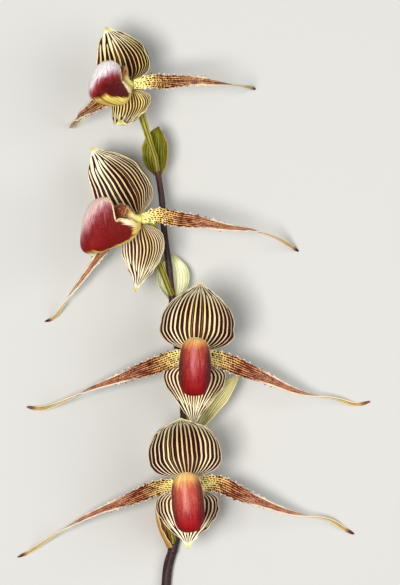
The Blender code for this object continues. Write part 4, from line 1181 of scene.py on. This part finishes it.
def stem(looks):
    """The stem, ridged and downy, with a ring below each bract, and its cut end."""
    t, turn = grid_of(STEM_RINGS, STEM_SIDES)
    route = smooth_route(STEM_ROUTE, STEM_RINGS)
    relief = 0.05 * np.cos(9 * turn + 3 * t) + 0.06 * waves(t + turn / 40, 5, 8, 20)
    for bloom in BLOOMS.values():
        off = (route[:, 1] - bloom["bract"][0] + 1.6)[:, None]
        relief = relief + 0.26 * hump(off, 0.9) - 0.1 * hump(off + 2.2, 0.7)
    radii = profile(STEM_RADII, t[:, 0])
    skin = tube("fine_stem", route, radii, STEM_SIDES, looks["stem"], "stem", relief=relief)
    down("stem_hairs", skin, 0.02, 2, STEM_HAIRS, COARSE, 11, looks["pale_hair"])
    rings = np.array([0.0, 0.3, 0.6, 0.86, 1.0])
    rind = np.repeat(rings, [1, *[STEM_SIDES] * 4])
    middle, cut = route[0], skin[0][:STEM_SIDES]
    points = np.concatenate([[middle], *[middle + (cut - middle) * r for r in rings[1:]]])
    points -= directions(route)[0] * (0.05 + 0.1 * (1 - rind[:, None]))
    k = np.arange(1, STEM_SIDES + 1)
    m = k % STEM_SIDES + 1
    faces = [np.stack([0 * k, m, k, 0 * k], axis=1)]
    for a in range(0, 3 * STEM_SIDES, STEM_SIDES):
        faces.append(np.stack([a + k, a + m, a + STEM_SIDES + m, a + STEM_SIDES + k], axis=1))
    uv = ((points - middle) / radii[0])[:, [0, 2]] * 0.24 + 0.5
    piece("stem_cut_end", points, np.concatenate(faces), uv, [looks["cut"]],
          stored={"rind": rind})


def stem_at(y):
    """The stem's middle and radius at a place along the part."""
    route = smooth_route(STEM_ROUTE, STEM_RINGS)
    middle = np.array([np.interp(y, route[:, 1], route[:, axis]) for axis in range(3)])
    return middle, profile(STEM_RADII, np.interp(y, route[:, 1], np.linspace(0, 1, STEM_RINGS)))


def ovary(number, looks):
    """The ovary with six ribs, on its rounder stalk."""
    bloom, name = BLOOMS[number], f"ovary_{number}"
    behind = placed(bloom, [(0, -7, -11), (0, -1.8, -7.4), (0, 0, -4.4), (0, 0, -1.9)])
    route = smooth_route([*bloom["stalk"], *behind], STALK_RINGS)
    t, turn = grid_of(STALK_RINGS, STALK_SIDES)
    radii = profile([(0, 1.8), (0.35, 2.05), (0.7, 2.5), (0.9, 2.35), (1, 2.55)], t[:, 0])
    ribbed = within((t - 0.18) / 0.2) * np.clip((1 - t) / 0.06, 0.2, 1)
    relief = 0.2 * np.cos(6 * turn) * ribbed + 0.06 * waves(t + turn / 30, number, 5, 12)
    skin = tube(f"fine_{name}", route, radii * bloom["size"], STALK_SIDES,
                stalked(f"{name}_skin", number * 2.3), name, relief=relief)
    down(f"{name}_hairs", skin, 0.1, 2, OVARY_HAIRS, FINE, 20 + number, looks["rose_hair"])


def column(number, looks):
    """The column and its staminode, with a raised middle, a rolled edge and hairs."""
    bloom, name = BLOOMS[number], f"column_{number}"
    size = bloom["size"]
    line = [(0, 0, 1.2), (0, 1, 5.4), (0, 4.6, 9), (0, 7.6, 12), (0, 8.4, 14.6), (0, 6.6, 16.6),
            (0, 1.8, 17.2)]
    t, turn = grid_of(COLUMN_RINGS, COLUMN_SIDES)
    v = t[:, 0]
    early = 1 / 14
    upper = smooth_route(line, within((v - early) / (1 - early)))
    upper[:, 2] -= 2.6 * within(1 - v / early)
    wide = profile([(0, COLUMN_RADIUS), (0.25, 2.7), (0.42, 2.4), (0.6, 3.7), (0.78, 4.8), (0.92, 4),
                    (1, 1.6)], v)
    thin = profile([(0, COLUMN_RADIUS), (0.25, 2.5), (0.42, 1.9), (0.6, 1.4), (0.78, 1.1), (1, 0.6)], v)
    end = np.sqrt(within(1 - within((v - 0.95) / 0.052) ** 2))
    top = np.cos(turn - math.pi)
    relief = 0.28 * within(top) ** 6 - 0.18 * hump(np.abs(top) - 0.7, 0.2)
    relief = within((t - 0.4) / 0.2) * within((1 - t) / 0.1) * relief
    relief = relief + 0.07 * np.cos(11 * turn) * np.cos(60 * t) * within((1 - t) / 0.1)
    skin = tube(f"fine_{name}", placed(bloom, upper), wide * end * size, COLUMN_SIDES, looks["tongue"],
                name, thin * end * size, relief * size)
    down(f"{name}_hairs", skin, 0.3, 0.99, COLUMN_HAIRS, COARSE, 30 + number, looks["gold_hair"])


# Bracts

def bract(number):
    """A boat-shaped leaf with raised parallel veins, whose base clasps the stem."""
    bloom, name = BLOOMS[number], f"bract_{number}"
    middle, radius = stem_at(bloom["bract"][0])
    reach = radius + CLEAR + BLADE / 2
    seat = middle - reach * unit(bloom["bract_faces"][0][1])
    t = np.linspace(0, 1, BRACT_ROWS + 1)
    u = np.linspace(-1, 1, BRACT_COLUMNS + 1)
    spine = smooth_route([seat, *bloom["bract"][1:]], BRACT_ROWS + 1)
    normal = facing(bloom["bract_faces"], t, directions(spine))
    wrap = bloom.get("bract_wrap", 75)
    cups = np.radians(profile([(0, wrap), (0.15, 69), (0.5, 62), (1, 20)], t))
    clasp = within(1 - t / 0.1)
    width = profile(BRACT_WIDTH, np.maximum(t, 0.1)) * bloom.get("bract_size", 1) * (1 - clasp)
    grid = blade_grid(spine, normal, width + reach * cups[0] * clasp, cups, u)
    away = within(t / 0.25)[:, None] * within((1 - t) / 0.1)[:, None]
    ruffle = edge_waves(t[:, None], u, number, number + 60, 2, 5)
    grid += normal[:, None] * (0.5 * np.abs(u) ** 4 * ruffle * away)[..., None]
    rows, columns = grid.shape[:2]
    veins = 0.06 * np.cos(math.pi * 7 * (u + 1)) + np.zeros((rows, 1))
    half = HALF_BRACT - 0.2 * np.abs(u) ** 6 + np.zeros((rows, 1))
    v, across = np.meshgrid(t, (u + 1) / 2, indexing="ij")
    skins = [papery(f"{name}_{side}", number, side == "inside") for side in ("inside", "outside")]
    leaf(name, grid.reshape(-1, 3), sheet_faces(rows, columns), half - veins, half + veins, across, v,
         skins, {})


# The studio

def light(name, place, size, power, tone):
    """A soft square lamp that points at the spike's middle."""
    lamp = bpy.data.lights.new(name, "AREA")
    lamp.size = size
    lamp.energy = power
    lamp.color = tone
    obj = linked(name, lamp)
    obj.location = place
    obj.rotation_mode = "QUATERNION"
    way = mathutils.Vector(AIM) - obj.location
    obj.rotation_quaternion = way.to_track_quat("-Z", "Y")


def studio():
    """A pale floor, soft light from the upper left, and the camera above."""
    mesh = bpy.data.meshes.new("floor")
    corners = [(x * FLOOR_REACH, y * FLOOR_REACH, 0) for x, y in ((-1, -1), (1, -1), (1, 1), (-1, 1))]
    mesh.from_pydata(corners, [], [(0, 1, 2, 3)])
    floor = linked("floor", mesh)
    pale = bpy.data.materials.new("floor")
    pale.use_nodes = True
    shader = pale.node_tree.nodes["Principled BSDF"]
    shader.inputs["Base Color"].default_value = FLOOR_TONE
    shader.inputs["Roughness"].default_value = 0.9
    mesh.materials.append(pale)
    for name, figures in LAMPS.items():
        light(name, *figures)
    world = bpy.data.worlds.new("studio")
    world.use_nodes = True
    sky = world.node_tree.nodes["Background"]
    sky.inputs["Color"].default_value = SKY_TONE
    sky.inputs["Strength"].default_value = SKY_STRENGTH
    scene = bpy.context.scene
    scene.world = world
    lens = bpy.data.cameras.new("photograph")
    lens.sensor_width = SENSOR
    lens.lens = SENSOR * VIEW_DISTANCE / (PHOTO_HEIGHT * PIXEL)
    lens.clip_end = 10.0
    scene.camera = linked("photograph", lens)
    scene.camera.location = [c * MM for c in (*VIEW_MIDDLE, VIEW_PLANE + VIEW_DISTANCE)]
    scene.view_settings.view_transform = "Standard"


# The spike

def together(parts):
    """The same kinds of lists from several parts, end to end."""
    return [np.concatenate(lists) for lists in zip(*parts)]


def main():
    """The spike, bloom by bloom, and the studio round it."""
    looks = {
        "stem": stem_skin(), "cut": stem_cut(), "tongue": tongue("staminode"),
        "rim": pouch_rim("lip_rim"),
    }
    for name, root, tip in (("pale_hair", "#b9a58c", "#efe6d4"), ("gold_hair", "#b98a3a", "#f3dda0"),
                            ("rose_hair", "#8a4a40", "#e0b8a8")):
        looks[name] = hair_look(name, root, tip)
    # The pink beads are partly the petals' pale warts, partly a painted highlight for the gloss of the
    # dark warts.
    beady = [bead_look("dark_bead", "#3a0f10", "#6e2420"), bead_look("pale_bead_and_highlight", "#e2bdb0", "#f7e6dc")]
    stem(looks)
    for number in BLOOMS:
        ovary(number, looks)
        bract(number)
        column(number, looks)
        edges = [sepal(f"dorsal_sepal_{number}", number, 1), sepal(f"synsepal_{number}", number, -1)]
        roots, ways, lengths = together(edges)
        hairs(f"sepal_hairs_{number}", roots, ways, lengths, FINE, looks["pale_hair"])
        skins = [spotted(f"petals_{number}_{side}", number, number * 2.1, side == "front")
                 for side in ("front", "back")]
        trims = [petal(number, hand, skins) for hand in (-1, 1)]
        middles, sizes, kinds, roots, ways, lengths = together(trims)
        beads(f"petal_beads_{number}", middles, sizes, beady, kinds)
        hairs(f"petal_hairs_{number}", roots, ways, lengths, FINEST, looks["rose_hair"])
        lip(number, looks)
    studio()


main()
